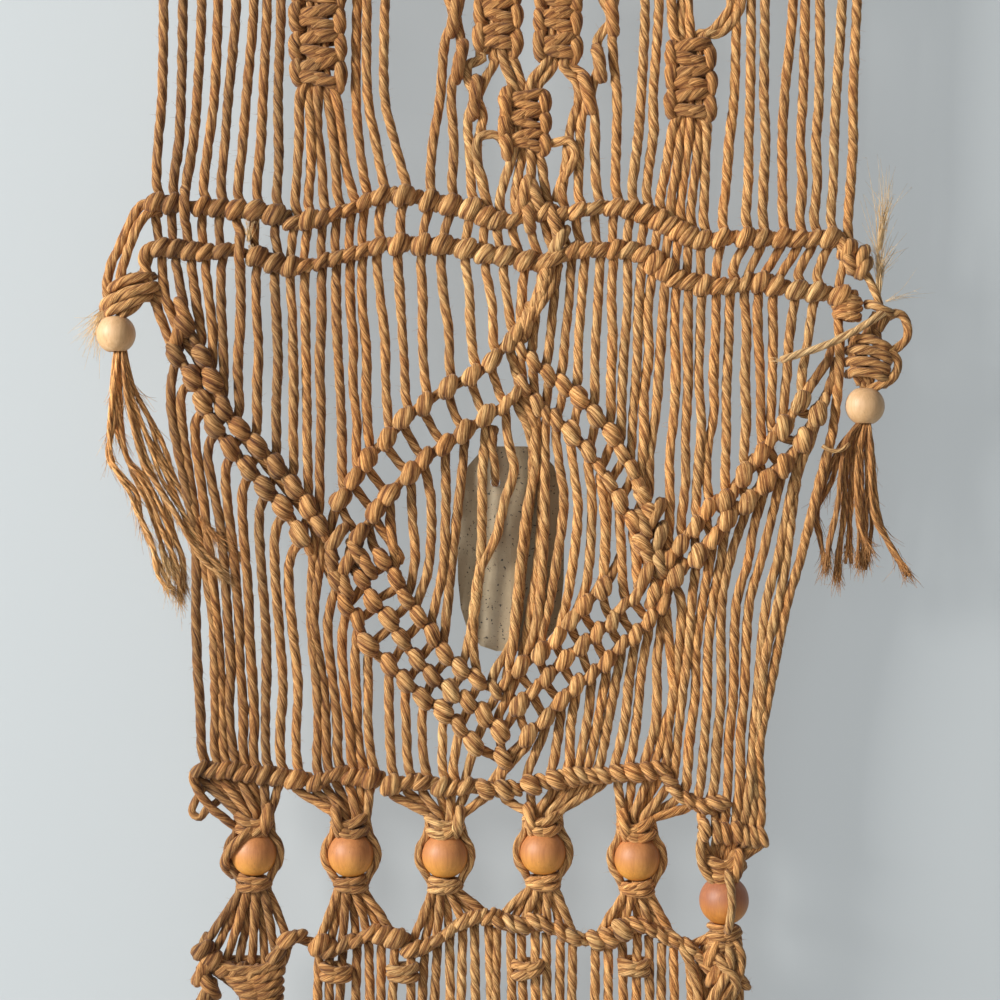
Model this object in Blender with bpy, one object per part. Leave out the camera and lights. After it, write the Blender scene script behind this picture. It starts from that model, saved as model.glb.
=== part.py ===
"""Jute macrame wall hanging with wooden beads, two side tassels and a stoneware plaque.

Metres, +Z up, the front faces -Y. The origin is the middle of the top edge.
Every place in the tables is in millimetres: x to the right of the centre line, and drop
below the top edge. Depth runs from the front to the wall, from the cloth's middle plane.
"""
import math

import bmesh
import bpy
from mathutils import Vector

MM = 0.001
GAP = 0.3                      # between pieces that touch

CORD = 4.8                     # width of one strand
HITCH_HALF = 4.3               # half height of a row of hitches
SLIM_HALF = 3.7                # the same in the close rows of the chevrons
HITCH_EDGE = 3.2               # half depth where two hitches meet
HITCH_SWELL = 1.6              # how far each hitch stands out past that
SHOULDER = 1.6                 # length over which a hitch narrows to its strand
SHORT_STRAND = 6.0             # one shorter than this has a single waist
CLEAR_SHARE = 0.88             # how much of its hitch's width a strand may take up
FRINGE_END = 668.0             # drop of the fringe's tips
FRINGE_STRIP_HALF = 1.5

BEAD_RADIUS = 11.6
BIG_BEAD_RADIUS = 12.4
SMALL_BEAD_RADIUS = 9.8
BORE_RADIUS = 3.6
CORE_WIDTH = 4.0               # gathered strands where they pass through a bead
SIDE_CORD = 3.4                # the cord drawn round each side of a bead
KNOT_HALF_WIDTH = 8.8
KNOT_HEIGHT = 9.0
SIDE_CORD_TURNS = (45, 90, 135)    # degrees from the bead's top where a side cord bends

PLAQUE_TOP = 288.0
PLAQUE_FOOT = 391.0
PLAQUE_CENTRE = 3.0
PLAQUE_HALF_WIDTH = 27.0
PLAQUE_THICKNESS = 5.0
PLAQUE_FRONT = 6.4             # depth of its crown
PLAQUE_BEND = 44.0             # radius of its round front
PLAQUE_CORNER = 3.2            # power of its rounded outline
PLAQUE_ROWS = 10
PLAQUE_COLUMNS = 8
TIE_PLACES = {"plaque_tie_left": -4.9, "plaque_tie_right": 14.1}
TIE_HOLE_DROP = 306.0
TIE_HOLE_RADIUS = 2.6
TIE_RADIUS = 1.4

# Rows of hitches, each a curve. Table row: (boundary between two hitches, x, drop)
HEADING = ((0, -173.5, 4.3), (8, -108.5, 4.3), (14, -78, 4.3), (17, -52, 4.3), (19, -20, 4.3),
           (23, 11, 4.3), (26, 43, 4.3), (28, 62, 4.3), (35, 108, 4.3), (43, 180, 4.3))
BAR_1 = ((0, -179, 167.5), (4, -146, 168.5), (8, -111.5, 172.5), (14, -78.5, 169), (17, -44.5, 165),
         (21, -4.5, 174), (25, 30.5, 172), (28, 59.5, 170.5), (32, 84, 179), (35, 104.5, 184.5),
         (41, 164, 185.5), (43, 180, 191))
BAR_2 = ((0, -176, 190), (4, -144, 191), (8, -111.5, 197.5), (11, -95, 197.5), (14, -77.5, 191.5),
         (17, -48, 187), (21, -3.5, 194), (25, 30.5, 193), (28, 59.5, 190.5), (32, 84, 203.5),
         (35, 103, 207.5), (39, 139, 209), (43, 175.5, 217.5))
LEFT_DIAGONAL = ((0, -169, 215), (4, -143, 262), (7, -118.5, 293), (11, -89, 335))
RIGHT_DIAGONAL = ((0, 82.5, 346), (3, 98, 324), (6, 123, 298.5), (9, 142, 275), (11, 160, 257))
ARCH_OUTER = ((0, -83.5, 313), (3, -64, 289.5), (6, -34, 262.5), (8, -11, 248), (10, 8, 235),
              (11, 17.5, 238), (14, 41.5, 268), (17, 56.5, 286.5), (21, 75, 318))
ARCH_INNER = ((0, -78, 334), (1, -69, 326), (3, -51.5, 306.5), (6, -25, 283.5), (9, 2, 264),
              (10, 8.5, 259), (11, 15.5, 259.5), (14, 32, 280), (17, 46, 297.5), (21, 65.5, 328))
CHEVRON_A = ((0, -74, 346), (2, -58.5, 354), (5, -39.5, 379), (8, -18, 402), (10, -3.5, 411),
             (11, 3, 410), (13, 13, 397), (16, 36, 372), (19, 58.5, 350), (21, 71, 342))
CHEVRON_B = ((0, -81, 354), (3, -62, 373), (6, -40, 400), (9, -15, 420), (10, -5, 426.5),
             (11, 3, 426), (13, 16, 410), (16, 42, 384), (19, 63, 362.5), (21, 75, 352))
CHEVRON_C = ((0, -86, 363), (3, -69, 386), (6, -46, 411), (9, -19.5, 432), (10, -8, 441),
             (11, 4, 442), (13, 20, 425), (16, 48, 398), (19, 67, 379), (21, 77.5, 367.5))
BAR_3 = ((0, -155, 450), (4, -127.5, 449), (8, -101, 454.5), (11, -80, 452.5), (15, -53, 457),
         (18, -29, 459), (22, -1.5, 460), (25, 24, 454), (29, 46, 452.5), (33, 70, 450),
         (36, 84.5, 456.5), (39, 102, 466.5), (43, 127, 476))
WAVE_BAR = ((0, -151, 537.5), (4, -127.5, 533), (8, -100, 536), (11, -77.5, 532.5), (15, -53.5, 538),
            (18, -30, 531), (22, -6.5, 526), (25, 17.5, 527.5), (29, 43.5, 534), (33, 63.5, 531),
            (36, 80, 540), (39, 98, 553), (43, 121, 556))
LEFT_DIAGONAL_STEP = (-7.3, 9.6)       # from each upper diagonal row to the lower one
RIGHT_DIAGONAL_STEP = (5.8, 10.6)

FULL = 43                      # strands across the whole cloth
FAN = 11                       # strands on each side that cross the diagonals
DIAMOND = 21                   # strands between, that cross arches and chevrons

# Sinnets and chain knots above the first bar: (strands, x, drop of top, drop of foot,
# half width, wraps), then the strand of the heading that enters each
SINNETS = {
    "left": (6, -93.5, 54, 108, 13.5, 5),
    "centre_left": (4, -4, 40, 90, 11.0, 4),
    "centre_right": (3, 26, 44, 94, 10.0, 4),
    "centre": (4, 10, 110, 142, 11.0, 3),
    "right": (5, 92.5, 86, 123, 12.5, 4),
    "chain_left_high": (2, -25, 60, 80, 6.0, 1),
    "chain_left_low": (2, -24.5, 92, 110, 6.0, 1),
    "chain_right_high": (2, 51, 62, 82, 6.0, 1),
    "chain_right_low": (2, 46, 94, 112, 6.0, 1),
}
# Stops of the strands between heading and first bar: (strand, sinnets it passes through)
SINNET_STOPS = (
    [(k, ("left",)) for k in range(8, 14)]
    + [(k, ("chain_left_high", "chain_left_low")) for k in (17, 18)]
    + [(k, ("centre_left",)) for k in (19, 20)]
    + [(k, ("centre_left", "centre")) for k in (21, 22)]
    + [(k, ("centre_right", "centre")) for k in (23, 24)]
    + [(25, ("centre_right",))]
    + [(k, ("chain_right_high", "chain_right_low")) for k in (26, 27)]
    + [(k, ("right",)) for k in range(30, 35)]
)

# The large beads: (first strand, strands, x, drop, radius)
BEADS = (
    (0, 8, -125.5, 491.5, BEAD_RADIUS),
    (8, 7, -77.0, 492.0, BEAD_RADIUS),
    (15, 7, -30.0, 492.5, BEAD_RADIUS),
    (22, 7, 19.0, 491.0, BEAD_RADIUS),
    (29, 7, 66.0, 494.0, BEAD_RADIUS),
    (36, 7, 109.5, 515.0, BIG_BEAD_RADIUS),
)

# Tassels. Their cords' places are (x, drop, depth).
LEFT_BEAD = (-194.5, 232.0)
LEFT_HEAD = (-193.0, 200.0, 12.0)      # x, drop of its top, half width
LEFT_CORDS = (
    ((-180.95, 163.5, 0), (-180.95, 173, 0), (-191, 188, 0)),
    ((-177.95, 186, 0), (-177.95, 194, 0)),
)
LEFT_TUFT = ((-207, 230, 0), (-214.5, 244, 0))
LEFT_TIPS = ((-168, 359), (-129, 351))         # outermost tips: x, drop
LEFT_BELLY = ((-197, 290), (-178, 288))        # the tassel's sides half way down
LEFT_FRONT = -7.2                              # it lies in front of the cloth
RIGHT_BEAD = (180.0, 268.0)
RIGHT_KNUCKLE = (182.7, 213.0, 6.0)
RIGHT_CORD = ((188, 229, 0), (196, 233, 0), (200.5, 241, 0), (197, 249.5, 0), (187, 253.5, 0),
              (181.5, 256.2, 0))
RIGHT_TIPS = ((160, 347), (203, 351))
RIGHT_BELLY = ((172, 310), (191, 310))
RIGHT_FRONT = -1.0
PALE_END_IN_FRONT = ((175, 231, -5), (170, 235, -9), (153, 240, -9.5), (135, 245.5, -9))
PALE_END_UP = ((187.5, 205, 0), (189.5, 182, 1), (192, 148, 2))
TASSEL_STRANDS = 10

JUTE = (0.45, 0.26, 0.11)
HONEY_WOOD = (0.62, 0.31, 0.11)
PALE_WOOD = (0.80, 0.62, 0.38)
STONEWARE = (0.42, 0.36, 0.25)


def at(x, drop, depth=0.0):
    """The point x mm right of the centre line and drop mm below the top edge."""
    return Vector((x * MM, depth * MM, -drop * MM))


def clear_scene():
    for obj in list(bpy.data.objects):
        bpy.data.objects.remove(obj, do_unlink=True)


def make_material(name, colour, roughness):
    material = bpy.data.materials.new(name)
    material.use_nodes = True
    shader = material.node_tree.nodes["Principled BSDF"]
    shader.inputs["Base Color"].default_value = (*colour, 1.0)
    shader.inputs["Roughness"].default_value = roughness
    shader.inputs["Metallic"].default_value = 0.0
    return material


def make_object(name, bm, colour, roughness=0.85, smooth=False):
    """Turn the faces outwards and put the mesh in the scene."""
    bmesh.ops.recalc_face_normals(bm, faces=bm.faces)
    mesh = bpy.data.meshes.new(name)
    bm.to_mesh(mesh)
    bm.free()
    if smooth:
        mesh.shade_smooth()
        mesh.set_sharp_from_angle(angle=math.radians(40))
    obj = bpy.data.objects.new(name, mesh)
    obj.data.materials.append(make_material(name + "_material", colour, roughness))
    bpy.context.scene.collection.objects.link(obj)
    return obj


def read_curve(rows, boundary):
    """(x, drop) at one boundary of the smooth curve through a table's rows."""
    last = len(rows) - 1
    k = 0
    while k < last - 1 and boundary > rows[k + 1][0]:
        k += 1

    def slope(i, column):
        before = rows[max(i - 1, 0)]
        after = rows[min(i + 1, last)]
        return (after[column] - before[column]) / (after[0] - before[0])

    start, end = rows[k], rows[k + 1]
    span = end[0] - start[0]
    t = (boundary - start[0]) / span
    place = []
    for column in (1, 2):
        place.append((2 * t**3 - 3 * t**2 + 1) * start[column]
                     + (t**3 - 2 * t**2 + t) * span * slope(k, column)
                     + (3 * t**2 - 2 * t**3) * end[column]
                     + (t**3 - t**2) * span * slope(k + 1, column))
    return place


def moved(rows, step):
    return tuple((boundary, x + step[0], drop + step[1]) for boundary, x, drop in rows)


class Row:
    """A row of knots. Above and below each knot is a port, where a strand joins on."""

    def __init__(self, bm, tops, feet, edge):
        out = Vector((0, edge * MM, 0))
        self.bm = bm
        self.count = len(tops) - 1
        self.lines = {
            "top": ([bm.verts.new(p - out) for p in tops], [bm.verts.new(p + out) for p in tops]),
            "foot": ([bm.verts.new(p - out) for p in feet], [bm.verts.new(p + out) for p in feet]),
        }
        self.unused = {(side, k) for side in self.lines for k in range(self.count)}

    def port(self, side, first=0, count=1):
        """The opening of some neighbouring knots: along the front, then back along the rear."""
        for k in range(first, first + count):
            self.unused.discard((side, k))
        front, back = self.lines[side]
        return front[first:first + count + 1] + back[first:first + count + 1][::-1]

    def close(self):
        for side, k in sorted(self.unused):
            self.bm.faces.new(self.port(side, k))


def hitch_row(bm, rows, count, half=HITCH_HALF, edge=HITCH_EDGE, swell=HITCH_SWELL, lower_by=0.0):
    """A bar of double half hitches, each a bump on the front."""
    middle = [at(*read_curve(rows, i)) for i in range(count + 1)]
    tops, feet = [], []
    for i, point in enumerate(middle):
        along = middle[min(i + 1, count)] - middle[max(i - 1, 0)]
        up = Vector((-along.z, 0, along.x)).normalized()
        tops.append(point + up * (half - lower_by) * MM)
        feet.append(point - up * (half + lower_by) * MM)
    row = Row(bm, tops, feet, edge)
    for rear, rise in ((0, swell), (1, 0)):
        top, foot = row.lines["top"][rear], row.lines["foot"][rear]
        for k in range(count):
            ring = [top[k], top[k + 1], foot[k + 1], foot[k]]
            if rise == 0:
                bm.faces.new(ring)
                continue
            crown = bm.verts.new(middle_of(ring) - Vector((0, rise * MM, 0)))
            for a, b in zip(ring, ring[1:] + ring[:1]):
                bm.faces.new((a, b, crown))
    for end in (0, count):
        bm.faces.new([row.lines[side][rear][end] for side, rear in
                      (("top", 0), ("top", 1), ("foot", 1), ("foot", 0))])
    return row


def wrapped_knot(bm, x, top, foot, half_width, count, wraps, edge=4.0, swell=1.4, grow=0.1):
    """Square knots round several strands, one above the other, with a ridge for each wrap."""
    columns = [half_width * (2 * i / count - 1) for i in range(count + 1)]
    row = Row(bm, [at(x + c, top) for c in columns], [at(x + c, foot) for c in columns], edge)
    (front_top, back_top), (front_foot, back_foot) = row.lines["top"], row.lines["foot"]
    levels = 2 * wraps
    lines = [front_top]
    for level in range(1, levels):
        ridge = level % 2
        drop = top + (foot - top) * level / levels
        lines.append([bm.verts.new(at(x + c * (1 + grow * ridge), drop, -edge - swell * ridge))
                      for c in columns])
    lines.append(front_foot)
    for upper, lower in zip(lines, lines[1:]):
        for k in range(count):
            bm.faces.new((upper[k], upper[k + 1], lower[k + 1], lower[k]))
    for k in range(count):
        bm.faces.new((back_top[k], back_top[k + 1], back_foot[k + 1], back_foot[k]))
    for end in (0, count):
        for upper, lower in zip(lines, lines[1:]):
            bm.faces.new((upper[end], lower[end], back_foot[end]))
        bm.faces.new((front_top[end], back_top[end], back_foot[end]))
    return row


def middle_of(loop):
    return sum((v.co for v in loop), Vector()) / len(loop)


def bridge(bm, opening, ring):
    """Join an opening of one or more ports to a strand's four corners."""
    half = len(opening) // 2
    for chain, (near, far) in ((opening[:half], ring[:2]), (opening[half:], ring[2:])):
        turn = half // 2
        for i in range(half - 1):
            bm.faces.new((chain[i], chain[i + 1], near if i < turn else far))
        bm.faces.new((chain[turn], far, near))
    bm.faces.new((opening[half - 1], opening[half], ring[2], ring[1]))
    bm.faces.new((opening[-1], opening[0], ring[0], ring[3]))


def strand_ring(bm, centre, across, half_width, half_depth):
    """Corners of a strand: front left, front right, back right, back left."""
    side = across.normalized() * half_width * MM
    out = Vector((0, half_depth * MM, 0))
    return [bm.verts.new(centre + offset) for offset in (-side - out, side - out, side + out, out - side)]


def across_of(along):
    across = Vector((-along.z, 0, along.x))
    return -across if across.x < 0 else across


def opening_across(opening):
    return opening[len(opening) // 2 - 1].co - opening[0].co


def reach(opening, along):
    """How far a slanting opening stretches past its middle in a strand's direction."""
    middle = middle_of(opening)
    return max((v.co - middle).dot(along) for v in opening)


def strand(bm, upper=None, lower=None, via=(), width=CORD, depth=None, shoulder=SHOULDER):
    """A strand from one opening down to another. Either end may be free instead."""
    stops = list(via)
    if upper:
        stops.insert(0, middle_of(upper))
    if lower:
        stops.append(middle_of(lower))
    room = []
    for opening, (above, below) in ((upper, stops[:2]), (lower, stops[-2:])):
        if opening:
            room.append(abs(opening_across(opening).dot(across_of(below - above).normalized())) / MM)
    half = min(width, CLEAR_SHARE * min(room)) / 2
    half_depth = (depth or width) / 2
    last = len(stops) - 1
    rings = []
    for i, stop in enumerate(stops):
        along = (stops[min(i + 1, last)] - stops[max(i - 1, 0)]).normalized()
        if i == 0 and upper:
            if shoulder:
                rings.append((stop + along * (reach(upper, along) + shoulder * MM), across_of(along)))
        elif i == last and lower:
            if shoulder:
                rings.append((stop - along * (reach(lower, -along) + shoulder * MM), across_of(along)))
        else:
            rings.append((stop, across_of(along)))
    if upper and lower and not via:
        along = (stops[1] - stops[0]).normalized()
        if (rings[1][0] - rings[0][0]).dot(along) < SHORT_STRAND * MM:
            across = opening_across(upper).normalized() + opening_across(lower).normalized()
            rings = [((stops[0] + stops[1]) / 2, across)]
    corners = [strand_ring(bm, centre, across, half, half_depth) for centre, across in rings]
    for above, below in zip(corners, corners[1:]):
        bridge(bm, above, below)
    if upper:
        bridge(bm, upper, corners[0])
    else:
        bm.faces.new(corners[0])
    if lower:
        bridge(bm, lower, corners[-1])
    else:
        bm.faces.new(corners[-1])


def drawn_together(bm, upper, lower, first_upper, first_lower, count):
    """Strands so close that they touch: a web between two rows, ridged on its front."""
    opening = upper.port("foot", first_upper, count)
    high, high_back = opening[:count + 1], opening[count + 1:][::-1]
    opening = lower.port("top", first_lower, count)
    low, low_back = opening[:count + 1], opening[count + 1:][::-1]
    inward = Vector((0, MM, 0))
    furrow = [bm.verts.new((a.co + b.co) / 2 + inward) for a, b in zip(high, low)]
    for k in range(count):
        crown = bm.verts.new((furrow[k].co + furrow[k + 1].co) / 2 - inward * 2)
        ring = [high[k], high[k + 1], furrow[k + 1], low[k + 1], low[k], furrow[k]]
        for a, b in zip(ring, ring[1:] + ring[:1]):
            bm.faces.new((a, b, crown))
        bm.faces.new((high_back[k], high_back[k + 1], low_back[k + 1], low_back[k]))
    for end in (0, count):
        bm.faces.new((high[end], high_back[end], low_back[end], low[end], furrow[end]))


def join_rows(bm, upper, lower, strands, first_upper=0, first_lower=0):
    for k in range(strands):
        strand(bm, upper.port("foot", first_upper + k), lower.port("top", first_lower + k))


def make_sinnets(bm, heading, bar):
    """Strands from the heading to the first bar, gathered by the sinnets on the way."""
    knots = {}
    for name, (count, x, top, foot, half_width, wraps) in SINNETS.items():
        knots[name] = wrapped_knot(bm, x, top, foot, half_width, count, wraps, edge=3.8)
    entered = dict.fromkeys(knots, 0)
    left = dict.fromkeys(knots, 0)
    stops = dict(SINNET_STOPS)
    for k in range(FULL):
        opening = heading.port("foot", k)
        for name in stops.get(k, ()):
            strand(bm, opening, knots[name].port("top", entered[name]))
            entered[name] += 1
            opening = knots[name].port("foot", left[name])
            left[name] += 1
        strand(bm, opening, bar.port("top", k))
    return list(knots.values())


def bead_knots(bm, bar, wave_bar):
    """Strands gathered above each large bead, through and round it, and spread again below."""
    rows = []
    for first, count, x, drop, radius in BEADS:
        above = drop - radius - GAP
        below = drop + radius + GAP
        upper = wrapped_knot(bm, x, above - KNOT_HEIGHT, above, KNOT_HALF_WIDTH, count, 1)
        lower = wrapped_knot(bm, x, below, below + KNOT_HEIGHT, KNOT_HALF_WIDTH, count, 1)
        drawn_together(bm, bar, upper, first, 0, count)
        drawn_together(bm, lower, wave_bar, 0, first, count)
        core = count - 4
        strand(bm, upper.port("foot", 2, core), lower.port("top", 2, core),
               width=CORE_WIDTH, shoulder=0.5)
        clear = (radius + GAP) / math.cos(math.radians(22.5)) + SIDE_CORD / 2 + GAP
        for port, side in ((0, -1), (count - 1, 1)):
            turns = [at(x + side * clear * math.sin(math.radians(a)),
                        drop - clear * math.cos(math.radians(a))) for a in SIDE_CORD_TURNS]
            strand(bm, upper.port("foot", port), lower.port("top", port), turns,
                   width=SIDE_CORD, depth=SIDE_CORD, shoulder=None)
        rows += [upper, lower]
    return rows


def macrame_net():
    bm = bmesh.new()
    heading = hitch_row(bm, HEADING, FULL, swell=0)
    bar_1 = hitch_row(bm, BAR_1, FULL)
    bar_2 = hitch_row(bm, BAR_2, FULL)
    rows = [heading, bar_1, bar_2] + make_sinnets(bm, heading, bar_1)
    join_rows(bm, bar_1, bar_2, FULL)
    bar_3 = hitch_row(bm, BAR_3, FULL)
    for table, step, first in ((LEFT_DIAGONAL, LEFT_DIAGONAL_STEP, 0),
                               (RIGHT_DIAGONAL, RIGHT_DIAGONAL_STEP, FULL - FAN)):
        upper = hitch_row(bm, table, FAN)
        lower = hitch_row(bm, moved(table, step), FAN)
        join_rows(bm, bar_2, upper, FAN, first_upper=first)
        join_rows(bm, upper, lower, FAN)
        join_rows(bm, lower, bar_3, FAN, first_lower=first)
        rows += [upper, lower]
    previous = hitch_row(bm, ARCH_OUTER, DIAMOND)
    join_rows(bm, bar_2, previous, DIAMOND, first_upper=FAN)
    rows.append(previous)
    for table, half in ((ARCH_INNER, HITCH_HALF), (CHEVRON_A, SLIM_HALF), (CHEVRON_B, SLIM_HALF),
                        (CHEVRON_C, SLIM_HALF)):
        following = hitch_row(bm, table, DIAMOND, half)
        join_rows(bm, previous, following, DIAMOND)
        rows.append(following)
        previous = following
    join_rows(bm, previous, bar_3, DIAMOND, first_lower=FAN)
    wave_bar = hitch_row(bm, WAVE_BAR, FULL)
    rows += [bar_3, wave_bar] + bead_knots(bm, bar_3, wave_bar)
    for row in rows:
        row.close()
    make_object("macrame_net", bm, JUTE)


def fringe():
    """Strands hanging from a narrow strip just under the lowest bar."""
    bm = bmesh.new()
    strip = hitch_row(bm, WAVE_BAR, FULL, half=FRINGE_STRIP_HALF, edge=2.6, swell=0,
                      lower_by=HITCH_HALF + GAP + FRINGE_STRIP_HALF)
    for k in range(FULL):
        x = read_curve(WAVE_BAR, k + 0.5)[0]
        tip = at(x * 1.02 - 2.0, FRINGE_END - 5 * math.sin(1.7 * k) ** 2)
        strand(bm, strip.port("foot", k), via=[tip], width=4.4)
    strip.close()
    make_object("fringe", bm, JUTE)


def tassel_skirt(bm, collar, count, belly, tips, front):
    """Strands that spread out below a tassel's bead, every second one in front."""
    for k in range(count):
        t = k / (count - 1)
        layer = front + (1.3 if k % 2 else -1.3)
        half_way = [a + (b - a) * t for a, b in zip(*belly)]
        tip = [a + (b - a) * t for a, b in zip(*tips)]
        via = [at(*half_way, layer), at(tip[0], tip[1] + 3 * math.sin(2.4 * k), layer)]
        strand(bm, collar.port("foot", k), via=via, width=1.4, depth=2.4)


def tassel_collar(bm, head, bead, port, ports):
    """The strands' roots below a bead, and the core that leads up through it."""
    x, drop = bead
    below = drop + SMALL_BEAD_RADIUS + GAP
    collar = wrapped_knot(bm, x, below, below + 6.0, 9.0, TASSEL_STRANDS, 1, edge=3.0, grow=0.05)
    if head:
        strand(bm, head.port("foot", port, ports), collar.port("top", 3, 4),
               width=CORE_WIDTH, shoulder=0.5)
    return collar


def tassel_left():
    bm = bmesh.new()
    x, top, half_width = LEFT_HEAD
    foot = LEFT_BEAD[1] - SMALL_BEAD_RADIUS - GAP
    head = wrapped_knot(bm, x, top, foot, half_width, 7, 3, edge=4.6, swell=1.8)
    for port, cord in zip((2, 5), LEFT_CORDS):
        strand(bm, None, head.port("top", port), [at(*p) for p in cord], width=4.4, shoulder=None)
    strand(bm, head.port("foot", 0), None, [at(*p) for p in LEFT_TUFT], width=2.4)
    collar = tassel_collar(bm, head, LEFT_BEAD, 2, 2)
    tassel_skirt(bm, collar, TASSEL_STRANDS, LEFT_BELLY, LEFT_TIPS, LEFT_FRONT)
    head.close()
    collar.close()
    make_object("tassel_left", bm, JUTE)


def tassel_right():
    bm = bmesh.new()
    x, top, half_width = RIGHT_KNUCKLE
    knuckle = wrapped_knot(bm, x, top, top + 12.0, half_width, 4, 1)
    collar = tassel_collar(bm, None, RIGHT_BEAD, 0, 0)
    bead_x, bead_drop = RIGHT_BEAD
    bore = [at(bead_x, bead_drop - SMALL_BEAD_RADIUS), at(bead_x, bead_drop + SMALL_BEAD_RADIUS - 0.4)]
    strand(bm, knuckle.port("foot", 1, 3), collar.port("top", 3, 4),
           [at(*p) for p in RIGHT_CORD] + bore, width=CORE_WIDTH, shoulder=None)
    for side, port, end in (("foot", 0, PALE_END_IN_FRONT), ("top", 3, PALE_END_UP)):
        strand(bm, knuckle.port(side, port), None, [at(*p) for p in end], width=2.6, depth=1.8,
               shoulder=None)
    tassel_skirt(bm, collar, TASSEL_STRANDS, RIGHT_BELLY, RIGHT_TIPS, RIGHT_FRONT)
    knuckle.close()
    collar.close()
    make_object("tassel_right", bm, JUTE)


def bead(name, x, drop, radius, colour, bands=7, segments=14):
    """A round bead, bored from top to bottom."""
    bm = bmesh.new()
    pole = math.asin(BORE_RADIUS / radius)
    rings = []
    for band in range(bands + 1):
        angle = pole + (math.pi - 2 * pole) * band / bands
        ring = []
        for s in range(segments):
            turn = 2 * math.pi * s / segments
            ring.append(bm.verts.new(at(x + radius * math.sin(angle) * math.cos(turn),
                                        drop - radius * math.cos(angle),
                                        radius * math.sin(angle) * math.sin(turn))))
        rings.append(ring)
    for upper, lower in zip(rings, rings[1:] + rings[:1]):
        for s in range(segments):
            after = (s + 1) % segments
            bm.faces.new((upper[s], upper[after], lower[after], lower[s]))
    make_object(name, bm, colour, roughness=0.35, smooth=True)


def plaque():
    """A thick, gently bent tile with two holes near its top, behind the window's strands."""
    bm = bmesh.new()
    half_height = (PLAQUE_FOOT - PLAQUE_TOP) / 2
    faces = []
    for skin in (0.0, PLAQUE_THICKNESS):
        grid = []
        for row in range(PLAQUE_ROWS + 1):
            v = -math.cos(math.pi * row / PLAQUE_ROWS)
            reach_across = (1 - abs(0.995 * v) ** PLAQUE_CORNER) ** (1 / PLAQUE_CORNER)
            line = []
            for column in range(PLAQUE_COLUMNS + 1):
                off = PLAQUE_HALF_WIDTH * reach_across * (2 * column / PLAQUE_COLUMNS - 1)
                turn = math.asin(off / PLAQUE_BEND)
                radius = PLAQUE_BEND - skin
                line.append(bm.verts.new(at(PLAQUE_CENTRE + radius * math.sin(turn),
                                            PLAQUE_TOP + half_height * (1 + v),
                                            PLAQUE_FRONT + PLAQUE_BEND - radius * math.cos(turn))))
            grid.append(line)
        for upper, lower in zip(grid, grid[1:]):
            for c in range(PLAQUE_COLUMNS):
                bm.faces.new((upper[c], lower[c], lower[c + 1], upper[c + 1]))
        faces.append(grid[0] + [line[-1] for line in grid[1:]] + grid[-1][-2::-1]
                     + [line[0] for line in grid[-2:0:-1]])
    front, back = faces
    for i, corner in enumerate(front):
        bm.faces.new((front[i - 1], corner, back[i], back[i - 1]))
    tile = make_object("plaque", bm, STONEWARE, roughness=0.3, smooth=True)
    for name, x in TIE_PLACES.items():
        drill = cylinder_cutter(name + "_drill", x, TIE_HOLE_DROP, TIE_HOLE_RADIUS)
        cut = tile.modifiers.new(name, "BOOLEAN")
        cut.operation = "DIFFERENCE"
        cut.solver = "EXACT"
        cut.object = drill


def cylinder_cutter(name, x, drop, radius, sides=10):
    bm = bmesh.new()
    rings = []
    for depth in (0.0, 30.0):
        rings.append([bm.verts.new(at(x + radius * math.cos(2 * math.pi * s / sides),
                                      drop + radius * math.sin(2 * math.pi * s / sides), depth))
                      for s in range(sides)])
    for s in range(sides):
        after = (s + 1) % sides
        bm.faces.new((rings[0][s], rings[0][after], rings[1][after], rings[1][s]))
    bm.faces.new(rings[0])
    bm.faces.new(rings[1])
    cutter = make_object(name, bm, STONEWARE)
    cutter.hide_render = True
    cutter.display_type = "WIRE"
    return cutter


def plaque_tie(name, x, sides=6):
    """A cord loop over the plaque's top edge and through its hole, snug behind a strand."""
    off = x - PLAQUE_CENTRE
    face = PLAQUE_FRONT + PLAQUE_BEND - math.sqrt(PLAQUE_BEND**2 - off**2)
    front = CORD / 2 + GAP + TIE_RADIUS
    rear = face + PLAQUE_THICKNESS + 2 * GAP + TIE_RADIUS
    top = PLAQUE_TOP - GAP - TIE_RADIUS
    corner = 2.2
    loop = ((front, top + corner), (front, TIE_HOLE_DROP - corner), (front + corner, TIE_HOLE_DROP),
            (rear - corner, TIE_HOLE_DROP), (rear, TIE_HOLE_DROP - corner), (rear, top + corner),
            (rear - corner, top), (front + corner, top))
    bm = bmesh.new()
    rings = []
    for i, (depth, drop) in enumerate(loop):
        before, after = loop[i - 1], loop[(i + 1) % len(loop)]
        along = Vector((0, after[0] - before[0], before[1] - after[1])).normalized()
        inward = along.cross(Vector((1, 0, 0)))
        centre = at(x, drop, depth)
        rings.append([bm.verts.new(centre + (Vector((1, 0, 0)) * math.cos(2 * math.pi * s / sides)
                                             + inward * math.sin(2 * math.pi * s / sides))
                                   * TIE_RADIUS * MM) for s in range(sides)])
    for ring, following in zip(rings, rings[1:] + rings[:1]):
        for s in range(sides):
            after = (s + 1) % sides
            bm.faces.new((ring[s], ring[after], following[after], following[s]))
    make_object(name, bm, JUTE, smooth=True)


def build():
    clear_scene()
    macrame_net()
    fringe()
    tassel_left()
    tassel_right()
    for number, (_, _, x, drop, radius) in enumerate(BEADS, start=1):
        bead(f"bead_{number}", x, drop, radius, HONEY_WOOD)
    bead("bead_left_tassel", *LEFT_BEAD, SMALL_BEAD_RADIUS, PALE_WOOD, bands=6, segments=12)
    bead("bead_right_tassel", *RIGHT_BEAD, SMALL_BEAD_RADIUS, PALE_WOOD, bands=6, segments=12)
    plaque()
    for name, x in TIE_PLACES.items():
        plaque_tie(name, x)


build()
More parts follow.
